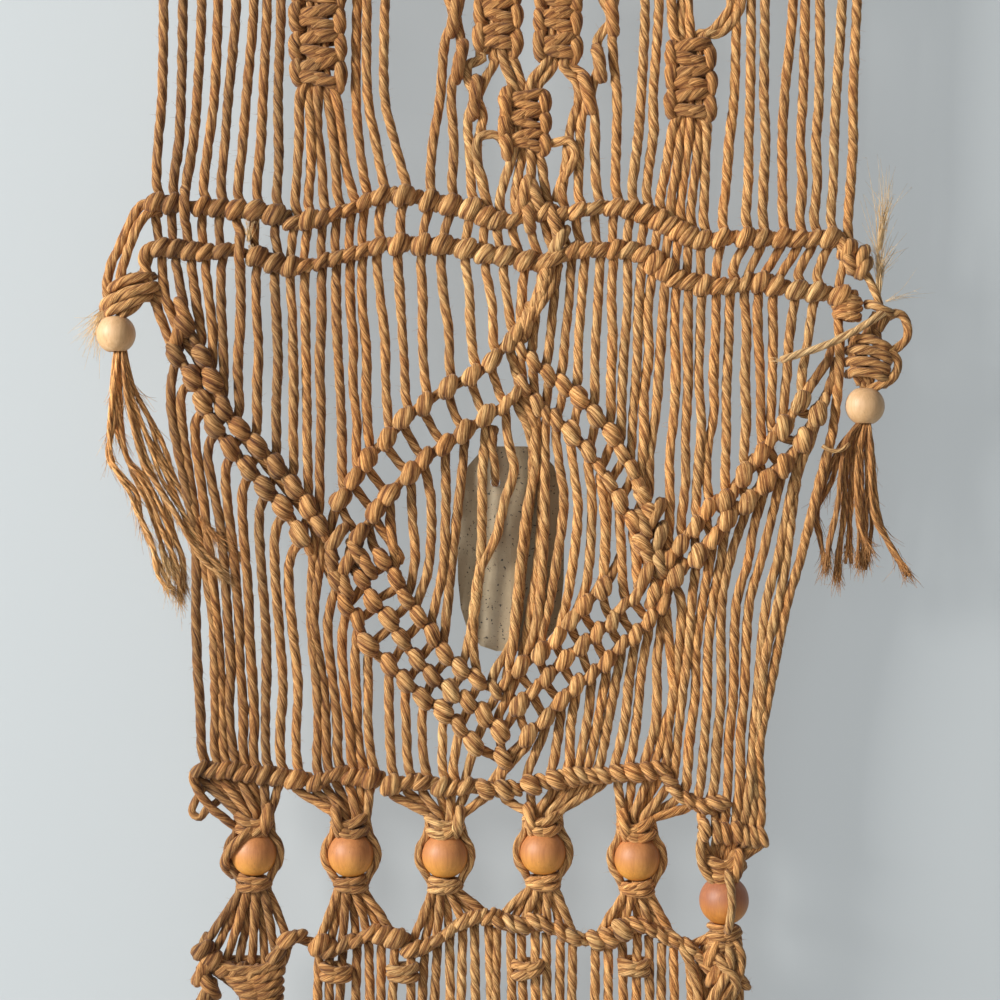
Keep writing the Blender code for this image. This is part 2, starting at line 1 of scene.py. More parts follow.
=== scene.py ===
"""Looks of the jute macrame wall hanging: every strand, hitch, bead and tassel.

Places in the tables are in millimetres: x to the right of the centre line, drop below the top
edge, and depth from the front towards the wall, from the cloth's middle plane.
"""
import math

import bpy
import numpy as np
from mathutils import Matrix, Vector


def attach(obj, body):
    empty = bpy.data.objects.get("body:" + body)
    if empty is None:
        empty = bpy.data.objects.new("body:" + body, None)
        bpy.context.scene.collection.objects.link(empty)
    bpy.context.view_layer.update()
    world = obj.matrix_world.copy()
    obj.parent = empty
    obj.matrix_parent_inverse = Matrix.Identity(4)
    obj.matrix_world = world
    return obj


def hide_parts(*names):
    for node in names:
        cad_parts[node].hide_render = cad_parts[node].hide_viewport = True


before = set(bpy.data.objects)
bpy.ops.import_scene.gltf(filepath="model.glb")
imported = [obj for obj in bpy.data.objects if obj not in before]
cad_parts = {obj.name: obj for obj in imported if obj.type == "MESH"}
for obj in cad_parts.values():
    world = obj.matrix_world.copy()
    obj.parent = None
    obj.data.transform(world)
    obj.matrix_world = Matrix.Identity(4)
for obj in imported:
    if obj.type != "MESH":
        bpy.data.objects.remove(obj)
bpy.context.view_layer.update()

MM = 0.001
rng = np.random.default_rng(7)

STRANDS = 43
CORD = 2.6                     # radius of the three-ply cord
LAY = 31.0                     # length in which its plies turn once
SIDES = 12
VALLEY = 0.80                  # how near to the axis the grooves between the plies reach
UNEVEN = 0.05                  # share by which a cord's girth varies
FIBRE_LEAD = 0.25              # share by which the streaks turn more than the plies
STREAK_RANGE = 700             # cords start at random places in the streaks' pattern
DENSE_STEP = 0.45              # between the points from which a cord's bends are read
SHARP_BEND = 0.05              # turn per mm at which a cord's rings stand closest
FINE_STEP = 1.5                # between the rings there
LONG_STEP = 2.8                # and where the cord is straight
HAIR_REACH = (1.2, 4.6)
HAIR_RADIUS = 0.085
STRAND_PITCH = 8.2             # mean distance between neighbouring strands
LEAD_GAP = 20                  # a strand from further up enters its turns from straight above
SLACK_STEP = 24                # between the places where a slack stretch sways
SLACK_SWAY = 0.63
SINNET_FOOT = 155              # single knots above this drop are as dark as the sinnets
FRINGE_END = 668.0
BEAD_BANDS = 26
BEAD_SEGMENTS = 48

# Rows of hitches. Table row: (strand, x, drop)
HEADING = ((0, -171, 4.3), (8, -105, 4.3), (13, -74, 4.3), (15, -58, 4.3), (16, -38, 4.3),
           (18, -16, 4.3), (21, 6, 4.3), (22, 15, 4.3), (25, 38, 4.3), (26, 48, 4.3), (28, 68, 4.3),
           (35, 111, 4.3), (42, 176, 4.3))
BAR_1 = ((0, -175, 166.5), (3, -151.5, 168), (5, -134, 170), (7, -115, 173), (8, -106, 175.5),
         (10, -91.5, 174), (12, -77.5, 169.5), (14, -62, 163.5), (15, -51, 163.5), (16, -38.5, 165.5),
         (18, -17.5, 170.5), (20, -3, 175), (21, 4.5, 175), (22, 13, 172), (24, 27, 172), (27, 54, 169),
         (29, 70, 172.5), (32, 87, 180.5), (34, 98.5, 185), (36, 119, 184), (39, 146.5, 185),
         (41, 162, 184), (42, 171, 190))
BAR_2 = ((0, -171.5, 189), (3, -150, 191.5), (5, -132.5, 191), (8, -107.5, 198.5), (11, -84.5, 194),
         (14, -63.5, 188), (16, -42.5, 187), (18, -20, 190), (20, 0, 194), (22, 19, 196),
         (24, 33.5, 191), (27, 55, 190), (29, 68.5, 192.5), (32, 85.5, 204.5), (35, 106, 208),
         (38, 127.5, 207), (40, 145, 210), (42, 166.5, 213))
LEFT_HIGH = ((1, -160, 227.5), (2, -151, 243), (3, -146, 255.5), (4, -140, 269), (5, -132, 279),
             (6, -123, 288), (7, -114, 298.5), (8, -106, 308), (9, -98, 318), (10, -92.5, 328.5))
LEFT_LOW = ((1, -164.5, 242), (2, -156, 254.5), (3, -150.5, 266.5), (4, -145.5, 277.5),
            (5, -137, 288.5), (6, -128, 299.5), (7, -119, 308.5), (8, -111, 318.5), (9, -102.5, 332))
RIGHT_HIGH = ((32, 81.5, 345), (33, 87.5, 337.5), (34, 94.5, 328), (35, 101, 320), (36, 110, 315),
              (37, 119, 302.5), (38, 128, 292.5), (39, 132.5, 285), (40, 139, 279), (41, 147.5, 266))
RIGHT_LOW = ((32, 81, 359), (33, 85.5, 352.5), (34, 96.5, 342.5), (35, 103.5, 334), (36, 111, 324.5),
             (37, 121, 316.5), (38, 130, 305), (39, 139, 298), (40, 149, 285), (41, 156.5, 272.5))
ARCH_OUTER = ((11, -82.5, 315), (12, -75.5, 303.5), (13, -68.5, 294.5), (14, -59.5, 284.5),
              (15, -50, 274.5), (16, -40, 266.5), (17, -28.5, 259), (18, -16, 253), (19, -6.5, 245.5),
              (20, 2.5, 235.5), (21, 8, 240), (22, 14, 246), (23, 21.5, 252), (24, 29, 257.5),
              (25, 37.5, 263.5), (26, 46, 273.5), (27, 53, 282), (28, 58.5, 292.5), (29, 63.5, 300),
              (30, 68, 311), (31, 72.5, 321))
ARCH_INNER = ((11, -72.5, 332.5), (12, -64.5, 321), (13, -57.5, 312.5), (14, -47.5, 301),
              (15, -40.5, 294.5), (16, -30, 287.5), (17, -20, 281), (18, -9, 273.5), (19, 0, 267.5),
              (20, 5.5, 261.5), (21, 10, 258), (22, 16, 267.5), (23, 20.5, 271.5), (24, 25.5, 275.5),
              (25, 33.5, 281.5), (26, 41.5, 291.5), (27, 47, 299), (28, 51.5, 306), (29, 57.5, 316),
              (30, 63, 326), (31, 68, 337.5))
CHEVRON_A = ((12, -61.5, 345), (13, -54, 354), (14, -49, 363.5), (15, -43, 373.5), (16, -36, 382.5),
             (17, -30, 392), (18, -22, 399), (19, -13.5, 405), (20, -5, 409.5), (22, 1, 405.5),
             (23, 8, 398.5), (24, 17.5, 391.5), (25, 25.5, 384), (26, 33, 375), (27, 40, 367.5),
             (28, 49, 359))
CHEVRON_B = ((12, -71.5, 355), (13, -66, 365), (14, -58, 375), (15, -51.5, 385), (16, -44, 395),
             (17, -36, 402.5), (18, -27.5, 411), (19, -18, 416), (20, -10, 422), (21, -2, 430.5),
             (22, 7, 417.5), (23, 14.5, 410), (24, 21.5, 404), (25, 29, 395), (26, 38.5, 387.5),
             (27, 46, 381.5), (28, 53, 376), (29, 59, 368.5), (30, 66, 362.5))
CHEVRON_C = ((11, -84.5, 354.5), (12, -79, 367.5), (13, -74, 376), (14, -68.5, 387.5), (15, -58, 397.5),
             (16, -49.5, 406), (17, -40.5, 413.5), (18, -31, 420.5), (19, -22.5, 428.5),
             (20, -15.5, 436.5), (21, -1, 444), (22, 12, 432.5), (23, 20.5, 423.5), (24, 27.5, 415),
             (25, 36, 407.5), (26, 43.5, 402.5), (27, 51, 396), (28, 58, 387.5), (29, 65, 382.5),
             (30, 72.5, 375), (31, 79, 366.5))
BAR_3 = ((0, -152.5, 449.5), (1, -145.5, 450), (3, -136.5, 450.5), (5, -126.5, 452), (7, -113, 453.5),
         (8, -105, 455), (9, -95, 456), (11, -85, 452.5), (12, -78, 453), (14, -67, 454),
         (15, -57.5, 457), (17, -41.5, 456), (18, -32.5, 458), (20, -20, 459), (21, -10, 460),
         (22, 0, 460), (23, 12.5, 457.5), (24, 25, 454), (26, 38.5, 453), (28, 49, 452.5),
         (29, 56.5, 452), (31, 71.5, 450), (32, 77.5, 449.5), (33, 81.5, 455), (34, 86, 461),
         (35, 91.5, 464.5), (36, 99, 468), (37, 106, 467))
KNEE = ((36, 100.5, 480), (37, 105.5, 481), (38, 110.5, 481.5), (39, 115.5, 482), (40, 120, 482.5),
        (41, 124, 482.5), (42, 128, 483))
WAVE_BAR = ((0, -151, 539), (1, -146.5, 545), (2, -140.5, 548.5), (4, -126.5, 551), (5, -119.5, 549),
            (6, -114, 542.5), (7, -108.5, 534), (8, -93.5, 537.5), (9, -87.5, 540), (11, -74.5, 535),
            (12, -68.5, 532), (14, -55.5, 534), (15, -46.5, 539), (17, -34, 535), (19, -21.5, 526),
            (21, -9, 522.5), (22, -4, 525), (24, 8.5, 527.5), (25, 15, 526), (27, 27.5, 531),
            (28, 34, 533), (29, 45, 535), (30, 51.5, 534), (32, 66, 527.5), (35, 85, 535.5),
            (36, 92.5, 537.5), (38, 100.5, 547.5), (40, 108.5, 543), (42, 116.5, 552.5))

# Table row: (name, table, its lanes, tilt of the turns up to a lane, that lane, tilt after it,
# whether a second turn shows beside the first, size of the turns)
ROWS = (
    ("heading", HEADING, range(STRANDS), 48, STRANDS, 48, False, 1.0),
    ("bar_1", BAR_1, range(STRANDS), 44, STRANDS, 44, True, 0.98),
    ("bar_2", BAR_2, range(STRANDS), 40, STRANDS, 40, True, 0.98),
    ("left_high", LEFT_HIGH, range(1, 11), 113, STRANDS, 113, True, 1.06),
    ("left_low", LEFT_LOW, range(1, 10), 112, STRANDS, 112, True, 1.06),
    ("right_high", RIGHT_HIGH, range(32, 42), 68, STRANDS, 68, True, 1.02),
    ("right_low", RIGHT_LOW, range(32, 42), 70, STRANDS, 70, True, 1.02),
    ("arch_outer", ARCH_OUTER, range(11, 32), 62, 20, 114, False, 1.0),
    ("arch_inner", ARCH_INNER, range(11, 32), 62, 20, 112, False, 1.0),
    ("chevron_a", CHEVRON_A, (*range(12, 21), *range(22, 29)), 116, 20, 62, False, 0.98),
    ("chevron_b", CHEVRON_B, range(12, 31), 116, 21, 62, False, 0.98),
    ("chevron_c", CHEVRON_C, range(11, 32), 116, 21, 62, False, 0.98),
    ("bar_3", BAR_3, range(38), 46, 20, 132, True, 0.92),
    ("knee", KNEE, range(36, 43), 104, STRANDS, 104, False, 1.0),
    ("wave_bar", WAVE_BAR, range(STRANDS), 42, 21, 134, True, 0.95),
)
LOW_ROWS = ("bar_3", "knee", "wave_bar")
IN_FRONT = (("bar_1", 2), ("bar_2", 5))

# Sinnets above the first bar: (strands, x, drop of top, drop of foot, half width, knots)
SINNETS = (
    (range(8, 13), -93.5, 54, 108, 13.5, 4),
    (range(18, 22), -3.5, 40, 90, 12.0, 4),
    (range(22, 26), 26.5, 44, 94, 11.5, 4),
    (range(20, 24), 10.5, 110, 141, 12.0, 3),
    (range(30, 35), 92.5, 86, 123, 12.5, 3),
)

# Places that a strand passes on its way: {strand: ((x, drop), ...)}
ABOVE = {
    0: ((-170.5, 65), (-171.5, 115)), 1: ((-161, 65), (-162, 115)), 2: ((-151.5, 65), (-154, 115)),
    3: ((-143.5, 65), (-145.5, 115)), 4: ((-134.5, 65), (-138.5, 115)), 5: ((-125.5, 65), (-129.5, 115)),
    6: ((-119, 65), (-121, 115)), 7: ((-112, 65), (-113.5, 115)), 13: ((-74, 65), (-74.5, 115)),
    14: ((-69, 65), (-68.5, 115)), 15: ((-60, 65), (-60, 115)),
    16: ((-29, 62), (-26, 74), (-30, 86), (-32.5, 115)),
    17: ((-22, 62), (-24, 74), (-22, 86), (-23, 98), (-26.5, 108), (-25.5, 140)),
    18: ((-13, 92), (-18.5, 98), (-18.5, 105), (-15, 114), (-18.5, 125)),
    19: ((-5, 95), (-10.5, 106), (-13.5, 114), (-11, 123), (-14, 138), (-13, 150)),
    24: ((30, 95), (35, 105), (37, 114), (33, 128)),
    25: ((34, 92), (40, 103), (41, 113), (38, 126)),
    26: ((48, 62), (53, 74), (46, 86), (47, 97), (43, 112), (45, 125)),
    27: ((55, 62), (53.5, 75), (54, 92), (56, 115)),
    28: ((70, 65), (68, 115)), 29: ((77, 65), (74, 115)), 33: ((113, 67), (101, 82)),
    34: ((118, 67), (107, 82)), 35: ((115.5, 65), (114.5, 115)), 36: ((123, 65), (122.5, 115)),
    37: ((130, 65), (129.5, 115)), 38: ((144, 65), (139.5, 115)), 39: ((150, 65), (149, 115)),
    40: ((157.5, 65), (157, 115)), 41: ((168.5, 65), (165.5, 115)), 42: ((176, 65), (174, 115)),
}
BELOW = {
    0: ((-169, 216), (-163, 230), (-153, 246), (-143, 267), (-125, 291), (-108, 311), (-95, 330),
        (-96, 345), (-97, 375), (-94, 410)),
    1: ((-167, 265), (-155, 335), (-154.5, 375)), 2: ((-161, 260), (-156, 315), (-146, 375)),
    3: ((-154.5, 275), (-150, 320), (-144, 375)), 4: ((-148.5, 290), (-142, 330), (-138.5, 375)),
    5: ((-139.5, 300), (-136, 340), (-133, 375)), 6: ((-131, 310), (-128, 365)),
    7: ((-122.5, 320), (-119.5, 380)), 8: ((-114.5, 330), (-111, 410)), 9: ((-107.5, 345), (-103.5, 410)),
    10: ((-92, 338), (-93, 350), (-95.5, 375), (-90.5, 410)), 11: ((-88.5, 375), (-85, 415)),
    12: ((-81.5, 385), (-79.5, 415)), 13: ((-75, 395), (-74, 415)), 31: ((76, 395), (76, 415)),
    32: ((81, 375), (84, 415)), 33: ((88, 365), (87, 390)), 34: ((93.5, 365), (91.5, 390)),
    35: ((99, 365), (95.5, 390)), 36: ((104, 365), (101.5, 390), (101, 415)),
    37: ((108.5, 365), (108, 415)), 38: ((116, 365), (114, 415)), 39: ((122.5, 365), (119.5, 415)),
    40: ((131, 365), (126, 415)), 41: ((147, 300), (139, 355), (129, 400)),
    42: ((167.5, 240), (166, 262), (163.5, 282), (157.5, 305), (152.5, 325), (147.5, 345), (141.5, 365),
         (132.5, 410), (127, 440)),
}
WINDOW = {
    12: ((-52.5, 345),), 14: ((-45, 345),), 15: ((-37, 315), (-38.5, 350)), 16: ((-29.5, 315), (-31, 350)),
    17: ((-22.5, 310), (-27, 350)), 18: ((-11.5, 325), (-12.5, 350), (-17, 380)),
    19: ((4.5, 300), (0, 315), (-5, 335), (-12.5, 350), (-16, 385)),
    20: ((14, 290), (13.5, 305), (9, 345), (4, 385)), 21: ((17.5, 290), (18, 330), (13, 370), (7, 400)),
    22: ((15, 300), (11, 320), (6, 365), (3.5, 390)), 23: ((20, 300), (19.5, 335), (15, 380)),
    24: ((29.5, 315), (22.5, 365)), 25: ((36.5, 320), (31, 365)), 26: ((43.5, 315), (40, 360)),
    27: ((49.5, 317), (48.5, 355)),
}

# Large beads: (node, first strand, strands, x, drop, radius)
BEADS = (
    ("bead_1", 0, 8, -125.5, 491.5, 11.6),
    ("bead_2", 8, 7, -77.0, 492.0, 11.6),
    ("bead_3", 15, 7, -30.0, 492.5, 11.6),
    ("bead_4", 22, 7, 19.0, 491.0, 11.6),
    ("bead_5", 29, 7, 66.0, 494.0, 11.6),
    ("bead_6", 36, 7, 109.5, 515.0, 12.4),
)
SMALL_BEADS = (("bead_left_tassel", -194.5, 232.0, 9.8), ("bead_right_tassel", 180.0, 268.0, 9.8))
BORE = 3.4
BOWL_FOOT = (-120.5, 566.0)    # x and drop where the strands below the first bead are drawn together

DARK_JUTE = (0.13, 0.048, 0.010)
MID_JUTE = (0.375, 0.18, 0.051)
LIGHT_JUTE = (0.85, 0.53, 0.225)
PALE_FIBRE = (0.80, 0.62, 0.36)


def between(t, span, start, leaving, end, entering):
    """A smooth curve at share t of the span from start to end, given its slopes at both."""
    return ((2 * t**3 - 3 * t**2 + 1) * start + (t**3 - 2 * t**2 + t) * span * leaving
            + (3 * t**2 - 2 * t**3) * end + (t**3 - t**2) * span * entering)


def read_curve(rows, position):
    """The other columns at one position of the smooth curve through a table's rows."""
    last = len(rows) - 1
    k = 0
    while k < last - 1 and position > rows[k + 1][0]:
        k += 1

    def slope(i, column):
        before = rows[max(i - 1, 0)]
        after = rows[min(i + 1, last)]
        return (after[column] - before[column]) / (after[0] - before[0])

    start, end = rows[k], rows[k + 1]
    span = end[0] - start[0]
    t = (position - start[0]) / span
    return np.array([between(t, span, start[c], slope(k, c), end[c], slope(k + 1, c))
                     for c in range(1, len(start))])


def smooth_path(points, fine, coarse):
    """Rings' places along the smooth curve through (x, depth, drop, width), closest in bends."""
    points = np.array(points, dtype=float)
    gaps = np.maximum(np.linalg.norm(np.diff(points[:, :3], axis=0), axis=1), 1e-3)
    knots = np.concatenate(([0.0], np.cumsum(np.sqrt(gaps))))
    rises = np.diff(points, axis=0) / np.diff(knots)[:, None]
    slopes = np.empty_like(points)
    slopes[0], slopes[-1] = rises[0], rises[-1]
    spans = np.diff(knots)[:, None]
    slopes[1:-1] = (rises[:-1] * spans[1:] + rises[1:] * spans[:-1]) / (spans[1:] + spans[:-1])
    dense = []
    for i, gap in enumerate(gaps):
        t = np.linspace(0, 1, max(int(gap / DENSE_STEP), 2), endpoint=False)[:, None]
        dense.append(between(t, spans[i], points[i], slopes[i], points[i + 1], slopes[i + 1]))
    dense.append(points[-1:])
    dense = np.vstack(dense)
    lengths = np.maximum(np.linalg.norm(np.diff(dense[:, :3], axis=0), axis=1), 1e-6)
    headings = np.diff(dense[:, :3], axis=0) / lengths[:, None]
    turns = np.zeros(len(dense))
    turns[1:-1] = np.linalg.norm(np.diff(headings, axis=0), axis=1) / (lengths[1:] + lengths[:-1]) * 2
    turns = np.convolve(turns, np.ones(5) / 5, mode="same")
    steps = fine + (coarse - fine) * np.clip(1 - turns / SHARP_BEND, 0, 1)
    count = np.concatenate(([0.0], np.cumsum(lengths / (0.5 * (steps[1:] + steps[:-1])))))
    wanted = np.linspace(0, count[-1], max(int(round(count[-1])), 2) + 1)
    return np.column_stack([np.interp(wanted, count, dense[:, c]) for c in range(4)])


def slow_wave(length, wavelength):
    """A random smooth wave of height about 1 along a cord."""
    total = np.zeros_like(length)
    for share in (1.0, 0.53, 0.31):
        total += np.sin(2 * math.pi * (length / (wavelength * share) + rng.random()))
    return total / 2.2


def put(name, data):
    obj = bpy.data.objects.new(name, data)
    bpy.context.scene.collection.objects.link(obj)
    return obj


def mark(mesh, title, values):
    """Give each vertex three numbers that its material reads."""
    attribute = mesh.attributes.new(title, "FLOAT_VECTOR", "POINT")
    attribute.data.foreach_set("vector", np.vstack(values).ravel())


class Yarn:
    """One piece made of cords. Each vertex knows its place in its cord, for the material."""

    def __init__(self, name):
        self.name = name
        self.vertices, self.faces, self.caps, self.places, self.tones = [], [], [], [], []
        self.count = 0

    def store(self, vertices, places, tones):
        for kept, values in ((self.vertices, vertices), (self.places, places), (self.tones, tones)):
            kept.append(values.reshape(-1, 3))
        self.count += len(self.vertices[-1])

    def cord(self, points, radius, hue, shade, plies=3, groove=VALLEY, sides=SIDES,
             fine=FINE_STEP, coarse=LONG_STEP, tip_hue=None):
        """A twisted cord along (x, depth, drop, width); its hue may change towards its tip."""
        rings = smooth_path(points, fine, coarse)
        centres = rings[:, [0, 1, 2]] * (1, 1, -1)
        along = np.gradient(centres, axis=0)
        along /= np.linalg.norm(along, axis=1)[:, None]
        length = np.concatenate(([0.0], np.cumsum(np.linalg.norm(np.diff(centres, axis=0), axis=1))))
        normals = np.empty_like(centres)
        normal = np.array([0.03, -1.0, 0.02])
        for i, heading in enumerate(along):
            normal = normal - normal.dot(heading) * heading
            normal /= np.linalg.norm(normal)
            normals[i] = normal
        sideways = np.cross(along, normals)
        turn = -2 * math.pi * (length / (LAY * rng.uniform(0.85, 1.2)) + 0.06 * slow_wave(length, 60))
        turn += rng.random() * 2 * math.pi
        around = 2 * math.pi * np.arange(sides) / sides
        lobe = np.abs(np.cos(plies * around / 2)) ** 0.6 if plies else np.ones(sides)
        girth = radius * rings[:, 3] * (1 + UNEVEN * slow_wave(length, 23))
        reach = girth[:, None] * (groove + (1 - groove) * lobe)
        angle = around + turn[:, None]
        vertices = (centres[:, None] + (reach * np.cos(angle))[..., None] * normals[:, None]
                    + (reach * np.sin(angle))[..., None] * sideways[:, None])
        fibre = around - FIBRE_LEAD * turn[:, None]
        down = np.broadcast_to(length[:, None] + STREAK_RANGE * rng.random(), fibre.shape)
        places = np.stack([radius * np.cos(fibre), radius * np.sin(fibre), down], axis=-1)
        tones = np.empty_like(places)
        # The lobe: 0 in the grooves between the plies, 1 on their crowns; the material paints shade into the
        # grooves from it.
        tones[..., 0] = lobe
        hues = hue + 0.14 * slow_wave(length, 90)
        if tip_hue is not None:
            hues += (tip_hue - hue) * (length / length[-1]) ** 3
        tones[..., 1] = hues[:, None]
        tones[..., 2] = (shade * (1 + 0.06 * slow_wave(length, 70)))[:, None]
        n = len(rings)
        grid = self.count + np.arange(n * sides).reshape(n, sides)
        after = np.roll(grid, -1, axis=1)
        self.faces.append(np.stack([grid[:-1], after[:-1], after[1:], grid[1:]], axis=-1).reshape(-1, 4))
        self.caps += [grid[0][::-1].tolist(), grid[-1].tolist()]
        self.store(vertices, places, tones)

    def hairs(self, amount):
        """Stray fibres that stand off the cords, each a thin closed spike."""
        skin = np.vstack(self.vertices)
        picked = rng.integers(0, len(skin), amount)
        start = skin[picked]
        tones = np.vstack(self.tones)[picked]
        lean = rng.normal(size=(amount, 3)) * (1, 1, 0.8)
        lean /= np.linalg.norm(lean, axis=1)[:, None]
        side = np.cross(lean, rng.normal(size=(amount, 3)))
        side /= np.linalg.norm(side, axis=1)[:, None]
        other = np.cross(lean, side)
        corners = []
        for a in (0, 2.1, 4.2):
            corners.append(start + (side * math.cos(a) + other * math.sin(a)) * HAIR_RADIUS)
        corners.append(start + lean * rng.uniform(*HAIR_REACH, size=(amount, 1)))
        vertices = np.stack(corners, axis=1)
        base = self.count + 4 * np.arange(amount)[:, None]
        for triangle in ((0, 1, 3), (1, 2, 3), (2, 0, 3), (2, 1, 0)):
            self.caps += (base + np.array(triangle)).tolist()
        tones = np.repeat(tones, 4, axis=0)
        tones[:, 0] = 1.0
        tones[:, 2] *= 1.15
        self.store(vertices, vertices * 3, tones)

    def fray(self, point, heading, amount, reach, spread, hue, shade, width):
        """Loose fibre ends that spread from the tip of a strand."""
        heading = np.array(heading, dtype=float)
        heading /= np.linalg.norm(heading)
        for _ in range(amount):
            lean = heading + rng.normal(size=3) * (spread, spread * 0.6, spread)
            size = reach * rng.uniform(0.5, 1.1)
            start = np.array(point) + rng.normal(size=3) * 0.5
            middle = start + lean * size * 0.5
            end = middle + (lean + rng.normal(size=3) * 0.3) * size * 0.5
            self.cord([(*start, 1.0), (*middle, 0.8), (*end, 0.25)], width, hue, shade, plies=0, sides=3,
                      fine=4.0, coarse=5.0)

    def build(self, node):
        mesh = bpy.data.meshes.new(self.name)
        faces = np.vstack(self.faces).tolist() + self.caps
        mesh.from_pydata((np.vstack(self.vertices) * MM).tolist(), [], faces)
        mark(mesh, "yarn", self.places)
        mark(mesh, "tone", self.tones)
        mesh.shade_smooth()
        mesh.materials.append(jute)
        piece = put(self.name, mesh)
        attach(piece, "root")
        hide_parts(node)


# Materials

class Nodes:
    """Builds one node material."""

    def __init__(self, name):
        self.material = bpy.data.materials.new(name)
        self.material.use_nodes = True
        self.tree = self.material.node_tree
        self.shader = self.tree.nodes["Principled BSDF"]

    def add(self, kind, settings=None, **inputs):
        node = self.tree.nodes.new(kind)
        for key, value in (settings or {}).items():
            setattr(node, key, value)
        self.fill(node, **inputs)
        return node

    def fill(self, node, **inputs):
        """Set inputs by name, with an underscore for each space."""
        for key, value in inputs.items():
            self.set(node, key.replace("_", " "), value)

    def set(self, node, socket, value):
        target = node.inputs[int(socket)] if socket.isdigit() else node.inputs[socket]
        if isinstance(value, bpy.types.NodeSocket):
            self.tree.links.new(value, target)
        else:
            target.default_value = value

    def math(self, operation, a, b=0.0):
        node = self.add("ShaderNodeMath", {"operation": operation})
        self.set(node, "0", a)
        self.set(node, "1", b)
        return node.outputs[0]

    def mix(self, factor, a, b, blend="MIX"):
        node = self.add("ShaderNodeMix", {"data_type": "RGBA", "blend_type": blend})
        self.set(node, "0", factor)
        self.set(node, "6", a)
        self.set(node, "7", b)
        return node.outputs[2]

    def ramp(self, value, *stops):
        node = self.add("ShaderNodeValToRGB", Fac=value)
        elements = node.color_ramp.elements
        while len(elements) < len(stops):
            elements.new(0.5)
        for element, (position, colour) in zip(elements, stops):
            element.position = position
            element.color = (*colour, 1.0)
        return node.outputs[0]

    def noise(self, vector, scale, detail=3.0, roughness=0.55):
        node = self.add("ShaderNodeTexNoise", Vector=vector, Scale=scale, Detail=detail,
                        Roughness=roughness)
        return node.outputs[0]

    def scaled(self, vector, scale):
        return self.add("ShaderNodeMapping", Vector=vector, Scale=scale).outputs[0]

    def attribute(self, name):
        return self.add("ShaderNodeAttribute", {"attribute_name": name}).outputs["Vector"]

    def parts(self, vector):
        return self.add("ShaderNodeSeparateXYZ", Vector=vector).outputs

    def place(self):
        return self.add("ShaderNodeTexCoord").outputs["Object"]

    def times(self, a, b):
        return self.mix(1.0, a, b, "MULTIPLY")

    def bump(self, height, distance, strength):
        node = self.add("ShaderNodeBump", Height=height, Distance=distance, Strength=strength)
        self.set(self.shader, "Normal", node.outputs[0])


def grey(value):
    return (value, value, value)


def jute_material():
    """Jute with streaks along its fibres, painted shade in the grooves between the plies and a slight painted
    highlight on the plies' crowns.
    """
    n = Nodes("jute")
    yarn = n.attribute("yarn")
    lobe, hue, shade = n.parts(n.attribute("tone"))
    streaks = n.noise(n.scaled(yarn, (1, 1, 0.10)), 1.2, 4, 0.75)
    threads = n.noise(n.scaled(yarn, (1, 1, 0.06)), 3.4, 2, 0.6)
    patches = n.noise(yarn, 0.12, 3)
    colour = n.ramp(streaks, (0.34, DARK_JUTE), (0.475, MID_JUTE), (0.61, LIGHT_JUTE))
    pale = n.ramp(threads, (0.52, grey(0)), (0.60, grey(1)))
    colour = n.mix(n.math("MULTIPLY", pale, 0.72), colour, (*LIGHT_JUTE, 1))
    dark = n.ramp(threads, (0.37, grey(1)), (0.47, grey(0)))
    colour = n.mix(n.math("MULTIPLY", dark, 0.62), colour, (*DARK_JUTE, 1))
    warm = n.times(colour, (1.08, 0.86, 0.66, 1))
    straw = n.times(colour, (1.0, 1.04, 1.08, 1))
    shift = n.math("MULTIPLY", n.math("SUBTRACT", patches, 0.5), 1.2)
    colour = n.mix(n.math("ADD", hue, shift), warm, straw)
    bleached = n.mix(0.65, colour, (*PALE_FIBRE, 1))
    bleach = n.ramp(n.math("MULTIPLY", hue, 0.4), (0.5, grey(0)), (0.9, grey(1)))
    colour = n.mix(bleach, colour, bleached)
    # Painted shade: darker and browner towards the grooves between the plies, and a slight painted highlight
    # on their crowns.
    groove = n.ramp(lobe, (0.0, (0.34, 0.21, 0.14)), (0.42, (0.84, 0.79, 0.73)), (1.0, grey(1.08)))
    colour = n.times(colour, groove)
    # Each cord's own brightness: a strand's tone, and painted shade where a cord is set darker for lying in
    # shadow (the row cords, the left tassel's core).
    tone_and_painted_shade = n.add("ShaderNodeCombineXYZ", X=shade, Y=shade, Z=shade)
    colour = n.times(colour, tone_and_painted_shade.outputs[0])
    n.fill(n.shader, Base_Color=colour, Roughness=0.75, Specular_IOR_Level=0.3, Sheen_Weight=0.10,
           Sheen_Roughness=0.5)
    n.bump(n.math("ADD", streaks, n.math("MULTIPLY", threads, 0.6)), 0.0006, 0.8)
    return n.material


def wood_material(name, deep, mid, light, below):
    """Turned wood with grain along the bore; below is how its stain changes towards its foot."""
    n = Nodes(name)
    place = n.place()
    height = n.parts(n.attribute("tone"))[0]
    grain = n.noise(n.scaled(place, (900, 900, 60)), 1.0, 4, 0.6)
    rings = n.noise(n.scaled(place, (160, 160, 16)), 1.0, 2)
    figure = n.math("ADD", n.math("MULTIPLY", grain, 0.5), n.math("MULTIPLY", rings, 0.5))
    colour = n.ramp(figure, (0.36, deep), (0.5, mid), (0.64, light))
    stained = n.times(colour, below)
    colour = n.mix(n.ramp(height, (0.20, grey(1)), (0.58, grey(0))), colour, stained)
    pores = n.noise(n.scaled(place, (1500, 1500, 260)), 1.0, 1)
    colour = n.times(colour, n.ramp(pores, (0.25, grey(0.75)), (0.32, grey(1))))
    n.fill(n.shader, Base_Color=colour, Roughness=n.ramp(grain, (0.3, grey(0.58)), (0.7, grey(0.5))),
           Coat_Weight=0.2, Coat_Roughness=0.5)
    n.bump(grain, 0.0002, 0.3)
    return n.material


